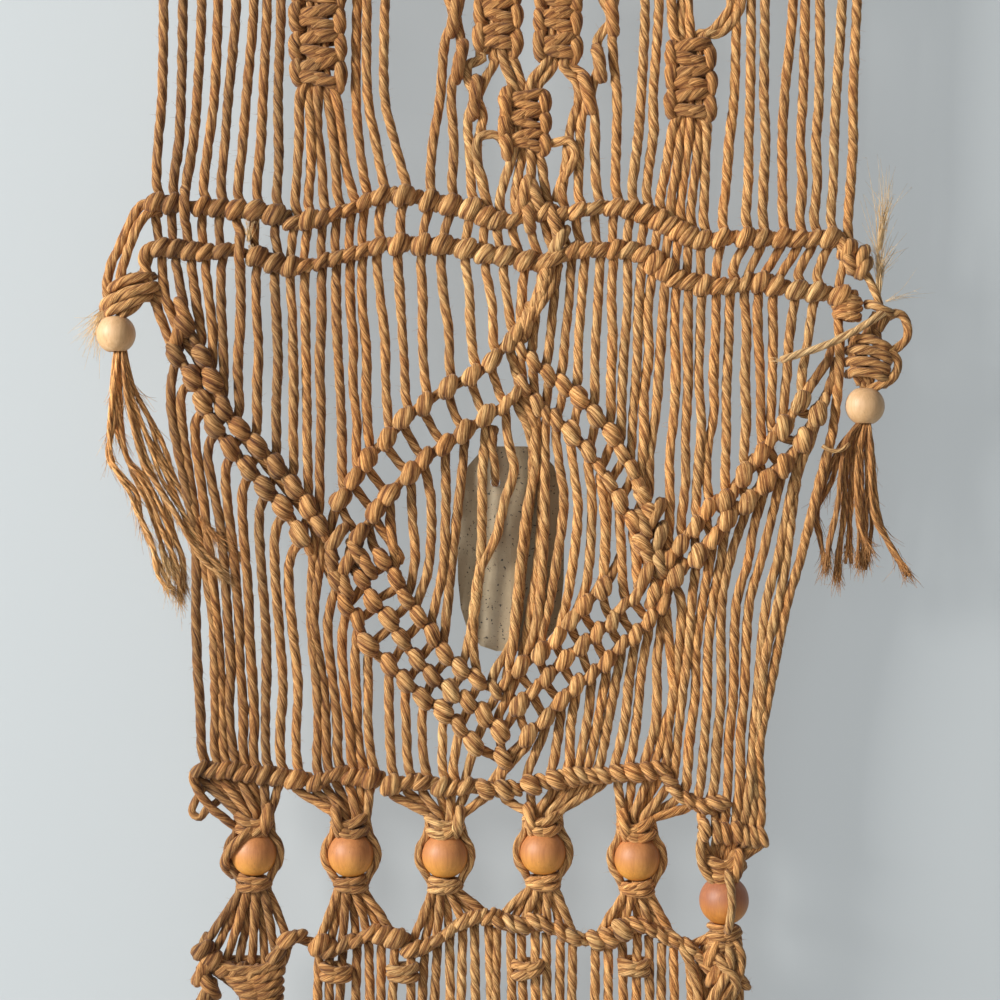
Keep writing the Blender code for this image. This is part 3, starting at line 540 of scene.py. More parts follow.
def stoneware_material():
    """A clouded glaze with freckles and larger spots."""
    n = Nodes("speckled_stoneware")
    place = n.place()
    cloud = n.noise(n.scaled(place, (60, 60, 26)), 1.0, 4)
    fine = n.noise(place, 900, 3)
    colour = n.ramp(cloud, (0.32, (0.38, 0.29, 0.17)), (0.5, (0.49, 0.39, 0.25)), (0.68, (0.57, 0.47, 0.32)))
    colour = n.mix(n.math("MULTIPLY", fine, 0.45), colour, (0.27, 0.22, 0.14, 1))
    freckles = n.ramp(n.noise(place, 700, 1), (0.67, grey(1)), (0.71, grey(0.15)))
    spots = n.ramp(n.noise(place, 300, 2), (0.69, grey(1)), (0.72, grey(0.25)))
    colour = n.times(n.times(colour, freckles), spots)
    n.fill(n.shader, Base_Color=colour, Roughness=n.ramp(cloud, (0.3, grey(0.6)), (0.7, grey(0.42))))
    n.bump(n.math("ADD", cloud, n.math("MULTIPLY", fine, 0.3)), 0.0008, 0.6)
    return n.material


# Knots. A path is a list of points (x, depth, drop, width as a share of the cord's)

def hitch(place, run, tilt, second, size, lead):
    """The turns of a strand round the cord of its row; run is the way to the next strand's turns."""
    angle = math.radians(tilt + rng.normal() * 7)
    up = np.array([math.cos(angle), -math.sin(angle)])
    across = abs(run[0] * up[1] - run[1] * up[0])
    along = abs(run.dot(up))
    room = math.hypot(across, max(0, along - 5))
    full = min(max(0.63 * room / CORD, 1.0), 1.8) * rng.uniform(0.9, 1.08)
    full = max(full * size, 0.9)
    edge = 0.35 + 0.65 * full
    # each stop: (up the oval, share of the way to the next, depth, width)
    stops = [(3.9, 0, 0.5, 1.0), (3.4, 0, -2.0, edge), (1.8, 0, -4.2, full), (-1.8, 0, -4.2, full),
             (-3.4, 0, -2.0, edge), (-3.8, 0, 0.6, 0.95), (-1.2, 0.1, 3.3, 0.85)]
    if second:
        stops += [(2.2, 0.3, 3.0, 0.85), (3.2, 0.5, 0.3, 0.85), (1.3, 0.5, -2.4, 0.98),
                  (-1.3, 0.5, -2.4, 0.98), (-3.2, 0.5, 0.3, 0.85), (-1.0, 0.25, 3.1, 0.85)]
    path = [(place[0], 2.4, place[1], 0.9)]
    if lead:
        path = [(place[0] + up[0] * 1.4, 0.2, place[1] - 8.0, 1.0)]
    for rise, share, depth, width in stops:
        spot = place + (up * rise + run * share) * (size if share == 0 else 1)
        path.append((spot[0], depth, spot[1], width))
    path.append((place[0], 2.2, place[1] + 4.2, 0.95))
    return path


def make_rows():
    """For each row and lane, the place of its turns, the way to the next, their tilt and kind."""
    rows = {}
    for name, table, lanes, tilt, last_tilted, tilt_after, second, size in ROWS:
        places = {}
        lowest, highest = table[0][0], table[-1][0]
        for lane in lanes:
            after, before = min(lane + 0.5, highest), max(lane - 0.5, lowest)
            run = (read_curve(table, after) - read_curve(table, before)) / (after - before)
            jitter = rng.normal(size=2) * 0.4
            places[lane] = (read_curve(table, lane) + jitter, run,
                            tilt if lane <= last_tilted else tilt_after, second, size)
        rows[name] = places
    return rows


def lane_of(k):
    """Where a strand hangs below the left diagonal, at which the first strand moves ten places in."""
    if k == 0:
        return 9
    return k - 1 if k < 10 else k


def row_core(table, before, after):
    """The cord that a row's hitches are tied round, run on at both ends."""
    points = [(x, 1.0, drop, 1.0) for x, drop in before]
    for k in np.arange(table[0][0], table[-1][0] + 0.01, 0.5):
        x, drop = read_curve(table, k)
        points.append((x, 0.6, drop, 1.0))
    points += [(x, 1.0, drop, 1.0) for x, drop in after]
    for end in (0, -1):
        x, _, drop, _ = points[end]
        points[end] = (x, 6.5, drop, 0.7)
    return points


def ring(yarn, x, drop, half_width, half_depth, shade, hue, thick, tilt, sag):
    """A cord wound round gathered strands, its ends hidden at the back; sag lowers its middle."""
    points = []
    for i in range(14):
        angle = 2 * math.pi * (i / 12 - 0.29)
        across = math.cos(angle)
        inside = 0.8 if i in (0, 13) else 1.0
        front = max(0.0, -math.sin(angle))
        points.append((x + half_width * across * inside, half_depth * math.sin(angle) * inside,
                       drop + tilt * across + sag * front * (1 - across * across), 1.0))
    yarn.cord(points, thick, hue, shade)


def square_knots(yarn, x, top, foot, half_width, knots, shade, hue):
    """Square knots: bands across the gathered strands, and loops down both sides."""
    inner = half_width - 1.55 * CORD
    pitch = (foot - top) / (2 * knots)
    for j in range(2 * knots):
        tilt = (2.0 if j % 2 else -1.6) + rng.normal() * 0.5
        drop = top + (j + 0.5) * pitch + rng.normal() * 0.4
        ring(yarn, x + rng.normal() * 0.5, drop, inner, 4.2, shade * rng.uniform(0.88, 1.08), hue,
             min(pitch * 0.56, CORD * 1.35), tilt, rng.normal() * 0.6)
    for j in range(knots):
        for side in (-1, 1):
            middle = top + (2 * j + (1.0 if side < 0 else 1.35)) * pitch + rng.normal() * 0.6
            tall = pitch * rng.uniform(0.9, 1.15)
            out = half_width - CORD * rng.uniform(0.75, 1.1)
            ear = [(x + side * (out - 4.5), 3.0, middle - tall * 0.8, 0.9),
                   (x + side * (out - 1.0), -0.8, middle - tall * 0.85, 1.0),
                   (x + side * out, -3.2, middle - tall * 0.3, 1.15),
                   (x + side * out, -3.2, middle + tall * 0.3, 1.15),
                   (x + side * (out - 1.0), -0.8, middle + tall * 0.85, 1.0),
                   (x + side * (out - 4.5), 3.0, middle + tall * 0.8, 0.9)]
            yarn.cord(ear, CORD * 1.18, hue, shade * rng.uniform(0.92, 1.08))


def oval_knot(yarn, x, drop, tilt, tall, shade, hue, thick, depth):
    """A single fat turn seen from the front, such as a chain knot."""
    angle = math.radians(tilt)
    up = np.array([math.cos(angle), -math.sin(angle)])
    path = []
    for rise, level, width in ((0.1, 3.0, 0.8), (0.95, 1.2, 0.85), (1.0, -1.2, 0.95), (0.45, depth, 1.0),
                               (-0.45, depth, 1.0), (-1.0, -1.2, 0.95), (-0.95, 1.2, 0.85), (-0.1, 3.0, 0.8)):
        offset = up * rise * tall * 0.5
        path.append((x + offset[0], level, drop + offset[1], width))
    yarn.cord(path, thick, hue, shade)


def cord_tone(k):
    """Shade and hue of a strand: darker and redder on the left."""
    edge = max(0.0, 1.0 - k / 20.0)
    return 0.94 - 0.36 * edge ** 0.75 + rng.normal() * 0.07, 0.55 - 0.40 * edge + rng.normal() * 0.14


def tone_at(x):
    """Shade and hue of a cord at x."""
    return cord_tone(STRANDS / 2 + x / STRAND_PITCH)


# The strands

rows = make_rows()
jute = jute_material()
tones = [cord_tone(k) for k in range(STRANDS)]


def through_sinnets(k):
    """Where a strand runs inside the sinnets above the first bar."""
    path = []
    for strands, x, top, foot, half_width, _ in SINNETS:
        if k in strands:
            slot = strands.index(k)
            off = (slot - (len(strands) - 1) / 2) * (1.25 * half_width / len(strands))
            layer = 1.2 if slot % 2 else -1.2
            path += [(x + off * 1.3, layer * 0.5, top - 4, 1.0), (x + off * 0.75, layer, top + 4, 0.8),
                     (x + off * 0.75, layer, foot - 4, 0.8), (x + off * 1.3, layer * 0.5, foot + 4, 1.0)]
    return path


def passing(k, table):
    """The table's places for a strand. Two strands pass behind the others in the window."""
    level = 3.0 if table is WINDOW and k in (20, 21) else 0.0
    return [(x, level + rng.normal() * 0.5, drop, 1.0) for x, drop in table.get(k, ())]


def slack(path, target):
    """A slack stretch between two knots: a little aside of the straight line."""
    start, end = np.array(path[-1]), np.array(target)
    count = int(np.linalg.norm(end - start) / SLACK_STEP)
    for i in range(1, count + 1):
        spot = start + (end - start) * i / (count + 1)
        x = spot[0] + SLACK_SWAY * rng.normal()
        path.append((x, rng.normal() * 0.6, spot[2], rng.uniform(0.92, 1.08)))


def join(path, more):
    if more:
        if path:
            slack(path, more[0])
        path += more


def strand_path(k):
    """A strand's points from the heading to its last row above the beads."""
    path = []
    for name in [row[0] for row in ROWS][:-1]:
        if name == "bar_1":
            way = passing(k, ABOVE) + through_sinnets(k)
            join(path, sorted(way, key=lambda point: point[2]))
        outermost = k in (0, STRANDS - 1)
        if name == ("left_high" if outermost else "bar_3"):
            join(path, passing(k, BELOW))
        if name == "chevron_a":
            join(path, passing(k, WINDOW))
        lane = lane_of(k) if name in LOW_ROWS else k
        if lane not in rows[name]:
            continue
        place, run, tilt, second, size = rows[name][lane]
        if (name, k) in IN_FRONT:
            turns = [(place[0], depth, place[1] + lower, 1.05)
                     for depth, lower in ((-1.0, -9), (-5.8, -3), (-5.8, 3), (-1.0, 9))]
        else:
            lead = bool(path) and place[1] - path[-1][2] > LEAD_GAP
            turns = hitch(place, run, tilt, second, size, lead)
        join(path, turns)
    return path


def bead_groups(yarns, fringe):
    """From the last row above each bead, round or through it, to the wave bar and the fringe."""
    for node, first, count, x, drop, radius in BEADS:
        above = drop - radius
        below = drop + radius
        for slot in range(count):
            lane = first + slot
            k = next(strand for strand in range(STRANDS) if lane_of(strand) == lane)
            shade, hue = tones[k]
            share = 2 * slot / (count - 1) - 1
            layer = (2.2 if slot % 2 else -1.6) * (1 - 0.5 * abs(share))
            if node == "bead_6":
                layer = 2.6 - 1.6 * abs(share)
            path = strand_path(k)
            start = path[-1]
            knot_top = (x + share * 8.0, layer, above - 8.0, 0.95)
            path.append(tuple(0.5 * np.array(start) + 0.5 * np.array(knot_top) + (0, 0.5 * layer, 0, 0)))
            path.append(knot_top)
            if abs(share) == 1 and node != "bead_6":
                out = radius + 1.7
                path.append((x + share * 8.4, 0.8, above - 2.0, 0.85))
                for turn in (46, 68, 90, 112, 134):
                    a = math.radians(turn)
                    path.append((x + share * out * math.sin(a), -0.8, drop - out * math.cos(a), 0.84))
                path.append((x + share * 7.4, 0.8, below + 2.0, 0.85))
            else:
                bundle = share * 2.2
                path.append((x + share * 5.0, layer, above - 5.5, 0.8))
                path.append((x + bundle, 0.5 * layer, above - 0.5, 0.40))
                path.append((x + bundle, 0.5 * layer, below + 0.5, 0.40))
            path.append((x + share * 6.4, layer, below + 6.0, 0.95))
            place, run, tilt, second, size = rows["wave_bar"][lane]
            turns = hitch(place, run, tilt, second, size, False)
            last = path[-1]
            path.append(tuple(0.5 * np.array(last) + 0.5 * np.array(turns[0]) + (0, 0.4 * layer, 0, 0)))
            path += turns
            yarns[node].cord(path, CORD, hue, shade)
            tip_x = place[0] * 1.02 - 2.0
            tip = FRINGE_END - 5 * math.sin(1.7 * k) ** 2
            fall = [path[-1]]
            if node == "bead_1":
                foot_x, foot = BOWL_FOOT
                fall.append((foot_x + (place[0] - foot_x) * 0.32, 0.5 * layer, foot, 0.95))
            for level in (0.35, 0.7):
                fall.append((place[0] + (tip_x - place[0]) * level + rng.normal() * 0.9, rng.normal() * 0.6,
                             path[-1][2] + (tip - path[-1][2]) * level, 1.0))
            fall.append((tip_x, 0, tip - 6, 1.05))
            fall.append((tip_x + rng.normal() * 0.5, 0, tip, 0.9))
            fringe.cord(fall, CORD, hue, shade)


fringe = Yarn("fringe_strands")
groups = {}
for number, (node, *_) in enumerate(BEADS, start=1):
    groups[node] = Yarn(f"strands_{number}")
bead_groups(groups, fringe)

# Table row: (row, where its cord comes from, where it goes on to)
CORE_RUNS = (
    (HEADING, ((-173, 4.3),), ((177, 4.3),)),
    (BAR_1, ((-178, 168),), ((174, 194),)),
    (BAR_2, ((-183, 212), (-181, 205), (-179.5, 197), (-176, 190)), ((170, 216),)),
    (LEFT_LOW, ((-180, 206), (-175, 216), (-170, 230)), ((-92, 343), (-88.5, 350), (-86, 357))),
    (LEFT_HIGH, ((-181, 208), (-172, 213), (-166, 220)), ((-89, 336), (-86, 345))),
    (RIGHT_LOW, ((79.5, 366), (79.5, 373)), ((160, 264), (164, 254), (166, 244))),
    (RIGHT_HIGH, ((78.5, 352), (78, 360)), ((154, 256), (161, 246), (165, 236))),
    (ARCH_OUTER, ((-84.5, 345), (-87.5, 335), (-86.5, 325)), ((76, 331), (80, 343), (80, 356))),
    (ARCH_INNER, ((-76, 352), (-78, 344), (-76.5, 338)), ((71.5, 346), (70, 356))),
    (CHEVRON_A, ((-68, 327), (-66.5, 336)), ((54.5, 350), (59.5, 338))),
    (CHEVRON_B, ((-78, 336), (-77, 347)), ((70.5, 354), (71, 344))),
    (CHEVRON_C, ((-87, 334), (-88, 346)), ((82, 357), (79, 342))),
    (BAR_3, ((-156, 451),), ((108, 467), (112, 474))),
    (KNEE, ((98, 479),), ((130, 483),)),
    (WAVE_BAR, ((-150, 533),), ((115, 557), (110, 560))),
)
trim = Yarn("row_cords_and_sinnets")
for table, before, after in CORE_RUNS:
    # The row cords are painted darker (shade 0.62): painted shade, as they lie in shadow between and behind
    # the turns.
    trim.cord(row_core(table, before, after), CORD, 0.3, 0.62)
for number, (_, x, top, foot, half_width, knots) in enumerate(SINNETS):
    shade, hue = (0.76, 0.1) if number else (0.68, 0.15)
    square_knots(trim, x, top, foot, half_width, knots, shade, hue)
for node, first, _, x, drop, radius in BEADS:
    shade, hue = tones[first + 3]
    above = drop - radius
    below = drop + radius
    side = 1 if node in ("bead_1", "bead_3", "bead_6") else -1
    ring(trim, x - 0.5, above - 6.0, 7.8, 5.6, shade, hue, CORD, 1.4 * side, 2.4)
    ring(trim, x, above - 1.6, 7.4, 6.8, shade * 1.04, hue, CORD, -1.0 * side, 2.8)
    oval_knot(trim, x + 6.4 * side, above - 4.5, 90 - 10 * side, 14, shade * 1.05, hue, 2.8, -5.8)
    ring(trim, x, below + 1.3, 6.7, 5.4, shade, hue, 2.2, 0.9 * side, 0.5)
    ring(trim, x, below + 4.5, 7.1, 5.0, shade * 0.96, hue, 2.3, -0.7 * side, 0.9)

# Single knots in front of the net. Table row: (x, drop, tilt, length)
FRONT_KNOTS = (
    (-25, 73, 80, 17), (-22.5, 96, 78, 18), (-15, 114, 84, 18), (53.5, 74, 95, 15), (47, 97, 100, 15),
    (41, 112, 104, 17), (0, 119, 96, 11), (-0.5, 129, 84, 11), (0.5, 138, 98, 11),
    (9.5, 163, 75, 16), (15.5, 164, 108, 15), (12, 173, 95, 13), (24.5, 176, 108, 15),
    (27, 186, 62, 13), (23, 196, 25, 14), (19, 206, 72, 16), (16, 216, 60, 15), (11, 226, 78, 16),
    (5.5, 232, 58, 14), (170, 192, 112, 18), (177.5, 194, 60, 9), (179, 199, 60, 8),
    (-86, 347, 100, 13), (-79, 347, 62, 13), (-74, 341, 118, 12), (-84, 334, 55, 12), (-80, 357, 110, 12),
    (-69, 347, 120, 12), (68, 311, 108, 13), (75, 322, 62, 13), (69, 327, 112, 12), (77, 334, 70, 13),
    (70, 340, 120, 13), (77, 346, 108, 13), (70, 353, 64, 13), (74, 362, 75, 12),
    (-150.5, 549, 62, 15), (-148, 556, 118, 15), (-150, 563, 60, 15), (-147.5, 570, 118, 14),
    (103, 541, 55, 14), (105, 550, 62, 13), (-160, 222, 112, 14), (-163, 233, 70, 12),
)
for x, drop, tilt, tall in FRONT_KNOTS:
    shade, hue = tone_at(x)
    if drop < SINNET_FOOT:
        shade, hue = shade * 0.86, 0.2
    oval_knot(trim, x, drop, tilt, tall, shade, hue, CORD * 1.3, -4.7)
trim.fray((-127.5, -6, 186), (0.15, 0, -1.0), 34, 11, 0.22, 1.6, 1.1, 0.17)
trim.fray((-126, -6, 188), (-0.15, 0, 1.0), 26, 9, 0.22, 1.5, 1.1, 0.17)

# Wraps round the strands' ends at both sides. Table row: (x, drop, half width, sag)
WRAPS = (
    (171, 214, 5.5, 0.5), (171, 218.5, 5.5, 0.3), (171, 223, 5.2, 0), (110, 493.5, 8.4, 3.5),
    (110, 498.5, 9.0, 4.2), (109.5, 537, 6.0, 1.0), (-128, 546, 16.5, 3.5), (-126.5, 550.5, 15, 3.4),
    (-125, 555, 12.5, 3.0), (-123, 559.5, 10.5, 2.4), (-121.5, 564, 8.5, 1.5), (-120.5, 568, 7.5, 0.8),
    (-84.5, 549, 6.4, 0.8), (-84.5, 553, 6.2, 0.4), (-51, 549, 6.4, 0.6), (-51, 553, 6.2, 0.4),
    (11.5, 547, 6.4, 0.8), (11.5, 551, 6.2, 0.3), (64.5, 546, 6.4, 1.4), (64.5, 550.5, 6.0, -0.4),
)
for x, drop, half_width, sag in WRAPS:
    shade, hue = tone_at(x)
    ring(trim, x, drop, half_width, 5.2, shade, hue, CORD, rng.normal() * 0.8, sag)

# Single cords in front of the net. Each: (radius, places), each place (x, depth, drop)
LAID_CORDS = (
    (2.3, ((5, 2, 138), (0, -3, 136), (-6, -4, 133), (-13, -4, 134.5), (-14.5, -3, 142.5),
           (-11.5, -1, 153), (-9, 3, 164))),
    (2.3, ((20, 2, 137), (26, -3, 136.5), (32, -4, 136), (35, -4, 142), (32.5, -3, 149),
           (28, -1, 156), (25, 3, 165))),
    (2.6, ((24, 1, 194), (21.5, -5, 203), (17.5, -6, 215), (11, -6, 227), (5, -3, 236), (2, 3, 240))),
    (2.6, ((27, 1, 197), (23, -5, 209), (15.5, -6, 221), (9, -4, 231), (7, 3, 236))),
    (2.6, ((-120, 1, 476), (-126, -5.5, 479.5), (-132, -8.8, 484), (-138, -7.8, 491), (-139.5, -2, 498),
           (-136, 4, 503))),
    (2.5, ((99, 3, 482), (97.5, -3, 488), (98, -5, 496), (102, -5, 503), (107, -2, 507))),
    (2.2, ((110.5, -6, 500), (111.5, -12, 505.5), (112, -14.6, 513), (111.5, -14, 521), (110.5, -8, 529.5))),
    (2.4, ((-147, 3, 450), (-153, -1, 449), (-155.5, -3, 453), (-153, -3, 460), (-148, -3, 467),
           (-140, -2, 474), (-133, 2, 480))),
    (2.1, ((-150, 3, 458), (-154, -2, 464), (-156, -2.5, 471), (-152.5, -2.5, 473.5), (-148.5, -2, 469),
           (-144, 3, 466))),
    (2.6, ((80, 1, 530), (86, -3, 534.5), (92, -4, 545), (96, -3, 560), (97.5, 0, 575), (98, 3, 590))),
    (2.7, ((110, 2, 530), (115, -3, 536), (117.5, -5, 544), (116, -6.5, 551.5), (111, -6.5, 558),
           (105.5, -5, 564.5), (101.5, -2, 573), (99.5, 3, 583))),
    (2.7, ((105, 3, 533), (105.5, -4, 540), (108.5, -8.5, 546.5), (113, -8.8, 551), (115, -6.5, 557),
           (112, -3, 563.5), (107, 0, 571), (104, 3, 580))),
    (2.6, ((108, 2, 532), (111.5, -5.5, 539), (111.5, -8, 547), (107.5, -8.5, 555), (103, -6, 563),
           (99.5, -2, 572), (97, 3, 582))),
)
for thick, places in LAID_CORDS:
    shade, hue = tone_at(places[0][0])
    trim.cord([(*place, 1.0) for place in places], thick, hue, shade * 1.02)

for yarn in (*groups.values(), trim):
    yarn.hairs(5000)
    yarn.build("macrame_net")
fringe.hairs(1500)
fringe.build("fringe")


# Side tassels. Each cord: (radius, hue, shade, places), each place (x, depth, drop)
TASSEL_LEFT = (
    (2.6, 0.30, 0.80, ((-176, -1, 167), (-182, -1, 168), (-187, -1, 176), (-192.5, -1, 188.5),
                       (-197, -1, 198), (-199, 0, 211), (-196, 0, 220))),
    (2.6, 0.35, 0.86, ((-173, 4, 171), (-177.5, -1, 171.5), (-182, -2, 176), (-186.5, -2, 186),
                       (-190, -2, 196), (-192.5, -1, 206), (-193, 0, 218))),
    (2.6, 0.35, 0.86, ((-171, -1, 189), (-175, -2, 188), (-179, -3, 190), (-180.5, -3, 195),
                       (-178.5, -2, 202), (-178, -2, 207), (-183, -1, 212))),
    (3.0, 0.42, 0.92, ((-174, 3, 208), (-177, -3.5, 209), (-187.5, -6.4, 212), (-198, -4.5, 216.5),
                       (-201, 3.5, 219))),
    (2.6, 0.30, 0.80, ((-176, 3, 203), (-180, -4, 203.5), (-188, -5.4, 205.5), (-195, -4, 208.5),
                       (-198, 3, 211))),
    (2.6, 0.40, 0.90, ((-177, 3, 213), (-181, -4, 214.5), (-188, -6.0, 217.5), (-197, -4, 221),
                       (-199, 3, 223))),
    # The next three cords fill the head's core behind its wraps and are painted darker (shade 0.60 to 0.66):
    # painted shade of that core.
    (2.6, 0.30, 0.62, ((-178, 3, 206), (-181, -1, 208), (-188, -2, 212), (-195, -1, 215), (-198, 3, 218))),
    (2.8, 0.30, 0.60, ((-182, 2, 202), (-186, 0, 207), (-190, 0, 214), (-192, 1, 222))),
    (2.8, 0.30, 0.66, ((-186, 2, 203), (-191, 0, 207), (-194, 0, 214), (-195, 1, 222))),
    (2.4, 0.35, 0.78, ((-182, 1, 214), (-185, -2, 219), (-190, -3, 222), (-193, 0, 224))),
)
TASSEL_RIGHT = (
    (2.2, 0.75, 1.0, ((177, -1, 196), (178.5, -1, 199), (183.5, -2, 208.5), (186.5, -2, 216.5),
                      (188, 0, 222))),
    (2.5, 0.60, 0.95, ((181, 1, 217), (184, -3.5, 218), (188, -5, 220), (192, -3, 222), (193, 1, 223))),
    (2.0, 1.55, 1.12, ((190, -2, 221), (188, -5, 222), (175.5, -7.5, 230), (159.5, -8, 238), (147.5, -8, 242),
                       (137, -7.5, 245.5))),
    (2.35, 0.45, 0.86, ((187, 0, 230), (189, -2, 226), (191.5, -2, 223), (197, -2, 222), (200.8, -2, 227.5),
                        (200.5, -2, 234), (196, -2, 239), (189.5, -3, 240.5), (184, 0, 241))),
    (2.35, 0.45, 0.84, ((188, -2, 240), (193, -3, 242), (196, -3, 247), (193.5, -3, 254), (186.5, -2, 258),
                        (181, 0, 260))),
    (2.6, 0.40, 0.84, ((174, 4, 236), (178, -4, 234.5), (185, -5.4, 236), (190, -4, 239), (192, 3, 241))),
    (2.6, 0.45, 0.92, ((172, 4, 240), (175.5, -4.6, 240), (183, -6.2, 241), (190, -5, 244), (192, 3, 246))),
    (2.6, 0.38, 0.82, ((171, 4, 246), (174.5, -4, 245.5), (182.5, -6.0, 246.5), (189.5, -4, 249.5),
                       (191, 3, 252))),
    (2.6, 0.38, 0.88, ((172, 4, 252), (175, -4, 251), (181.5, -5.4, 251.5), (188, -4, 254), (190, 3, 257))),
    (2.8, 0.35, 0.66, ((186, 2, 222), (183, 0, 228), (179, -1, 238), (179, 0, 248), (180, 1, 260))),
    (2.8, 0.35, 0.62, ((184, 2, 226), (186, 0, 234), (185, -1, 244), (183, 0, 252), (181, 1, 260))),
    (2.6, 0.35, 0.70, ((176, 2, 232), (174, -1, 240), (174.5, -1, 248), (178, 1, 257))),
    (1.1, 1.20, 1.05, ((158, -5, 288), (162, -6, 290.5), (167.5, -6, 290), (171.5, -5, 287))),
)
# Loose strands below a tassel's bead: (x and drop along the strand), the last pair is its tip
LOOSE_LEFT = (
    ((-193, 240), (-195, 260), (-196, 277), (-197.5, 288), (-196.5, 295.5), (-191.5, 303.5), (-185.5, 312),
     (-182.5, 321), (-180.5, 328.5), (-176, 339.5), (-172.5, 351.5), (-166.5, 360)),
    ((-194, 240), (-193, 260), (-192, 279), (-188.5, 296), (-182.5, 302.5), (-174.5, 317.5), (-169.5, 332),
     (-166.5, 343), (-163.5, 354), (-162.5, 362)),
    ((-192, 240), (-190, 258), (-187, 275), (-183, 290), (-177, 304), (-171, 318), (-166, 332), (-162, 344),
     (-160.5, 362)),
    ((-191, 240), (-188, 258), (-182, 276), (-176, 290), (-170, 304), (-163, 318), (-157, 330), (-150, 340),
     (-143, 349)),
    ((-190, 240), (-186, 258), (-177, 276), (-172.5, 288), (-166.5, 303), (-157.5, 318), (-150.5, 328),
     (-142, 335), (-133, 344)),
    ((-191, 240), (-189, 260), (-184, 280), (-179, 296), (-172, 310), (-164, 322), (-157, 334), (-148, 345),
     (-140, 353)),
    ((-195, 240), (-196, 258), (-195, 276), (-190, 292), (-183, 308), (-176, 322), (-171, 336), (-167, 350)),
)
LOOSE_RIGHT = (
    ((178, 276), (172, 284), (168, 300), (166, 320), (162, 336), (161, 348)),
    ((179, 276), (174, 286), (171, 304), (169, 324), (167, 340), (166, 355)),
    ((180, 276), (176, 288), (174, 306), (173, 326), (172, 347)),
    ((181, 276), (178, 288), (178, 306), (178, 328), (177, 349)),
    ((182, 276), (181, 290), (182, 310), (182, 328), (180.5, 350)),
    ((182, 276), (183, 292), (183.5, 311.5), (186, 326), (193, 339.5), (201, 353)),
    ((177, 276), (169, 288), (162, 306), (156, 322), (158, 334), (160.5, 346)),
    ((180, 276), (177, 290), (176, 310), (177, 330), (181, 338)),
)


def tassel(name, cords, loose, hue, tip_hue, shade):
    """A tassel's cords, and its loose strands, each a pair of thin ones with frayed ends."""
    yarn = Yarn(name)
    for thick, cord_hue, cord_shade, places in cords:
        yarn.cord([(*place, 1.0) for place in places], thick, cord_hue, cord_shade)
    for number, places in enumerate(loose):
        depth = (-2.6, 0.4, 2.6, -0.8, 1.6, -3.6, 3.4, -1.6)[number]
        for twin in (-1, 1):
            path = []
            for i, (x, drop) in enumerate(places):
                apart = twin * 1.7 * (0.35 + 0.65 * math.sin(1.3 * i + number)) + rng.normal() * 0.4
                width = 0.4 if i == 0 else rng.uniform(0.5, 0.68)
                level = depth * min(1, 0.3 + 0.35 * i) + 0.7 * twin
                path.append((x + apart * min(1, 0.4 * i), level, drop, width))
            path[-1] = (*path[-1][:3], 0.35)
            strand_shade = shade * rng.uniform(0.78, 1.16)
            yarn.cord(path, 2.3, hue, strand_shade, tip_hue=tip_hue, groove=0.7)
            heading = (places[-1][0] - places[-2][0], 0, places[-1][1] - places[-2][1])
            near_tip = tuple(0.45 * np.array(path[-2][:3]) + 0.55 * np.array(path[-1][:3]))
            yarn.fray(near_tip, heading, 30, 11, 0.17, tip_hue, strand_shade * 1.05, 0.2)
            for i in range(1, len(places) - 1):
                way = (places[i + 1][0] - places[i][0], 0, places[i + 1][1] - places[i][1])
                yarn.fray(path[i][:3], way, 9, 15, 0.17, 0.5 * (hue + tip_hue), strand_shade, 0.17)
    return yarn


left = tassel("tassel_left_cords", TASSEL_LEFT, LOOSE_LEFT, 0.34, 0.8, 1.12)
left.fray((-200, 0, 219), (-0.4, 0, 1.0), 80, 22, 0.24, 1.9, 1.15, 0.17)
left.fray((-172, -2, 338), (0.35, 0, 1.0), 70, 22, 0.14, 1.3, 1.1, 0.18)
left.fray((-152, -3, 324), (0.75, 0, 1.0), 60, 24, 0.15, 0.2, 0.95, 0.18)
left.hairs(900)
left.build("tassel_left")
right = tassel("tassel_right_cords", TASSEL_RIGHT, LOOSE_RIGHT, 0.12, 0.0, 0.78)
right.fray((186, -2, 218), (0.04, 0, -1.0), 70, 42, 0.05, 1.8, 1.12, 0.2)
right.fray((187, -2, 190), (0.14, 0, -1.0), 44, 38, 0.08, 1.9, 1.12, 0.16)
right.fray((140, -7.5, 244.5), (-1.0, 0, 0.35), 20, 7, 0.14, 1.9, 1.15, 0.18)
right.fray((190, -3, 216), (0.8, 0, -0.4), 8, 25, 0.16, 1.9, 1.15, 0.10)
right.hairs(1100)
right.build("tassel_right")

# Cord loops that hold the plaque: (node, x of its hole, x of its upper end)
for node, hole, top in (("plaque_tie_left", -4.9, -7.0), ("plaque_tie_right", 14.1, 15.5)):
    tie = Yarn(node + "_cord")
    path = [(top + 2, 4.5, 279, 1.0), (top + 1, 12.5, 287, 1.0), (hole, 14.0, 297, 1.0),
            (hole, 12.5, 304, 1.0), (hole, 9.0, 306.4, 1.0), (hole, 5.0, 306.2, 1.0),
            (hole, 1.8, 303, 1.05), (hole - 0.4, 0.4, 296, 1.1), (top, 0.4, 287, 1.1),
            (top + 1, 2.5, 278, 1.0)]
    tie.cord(path, 2.1, 0.5, 0.92)
    tie.hairs(120)
    tie.build(node)


# Beads

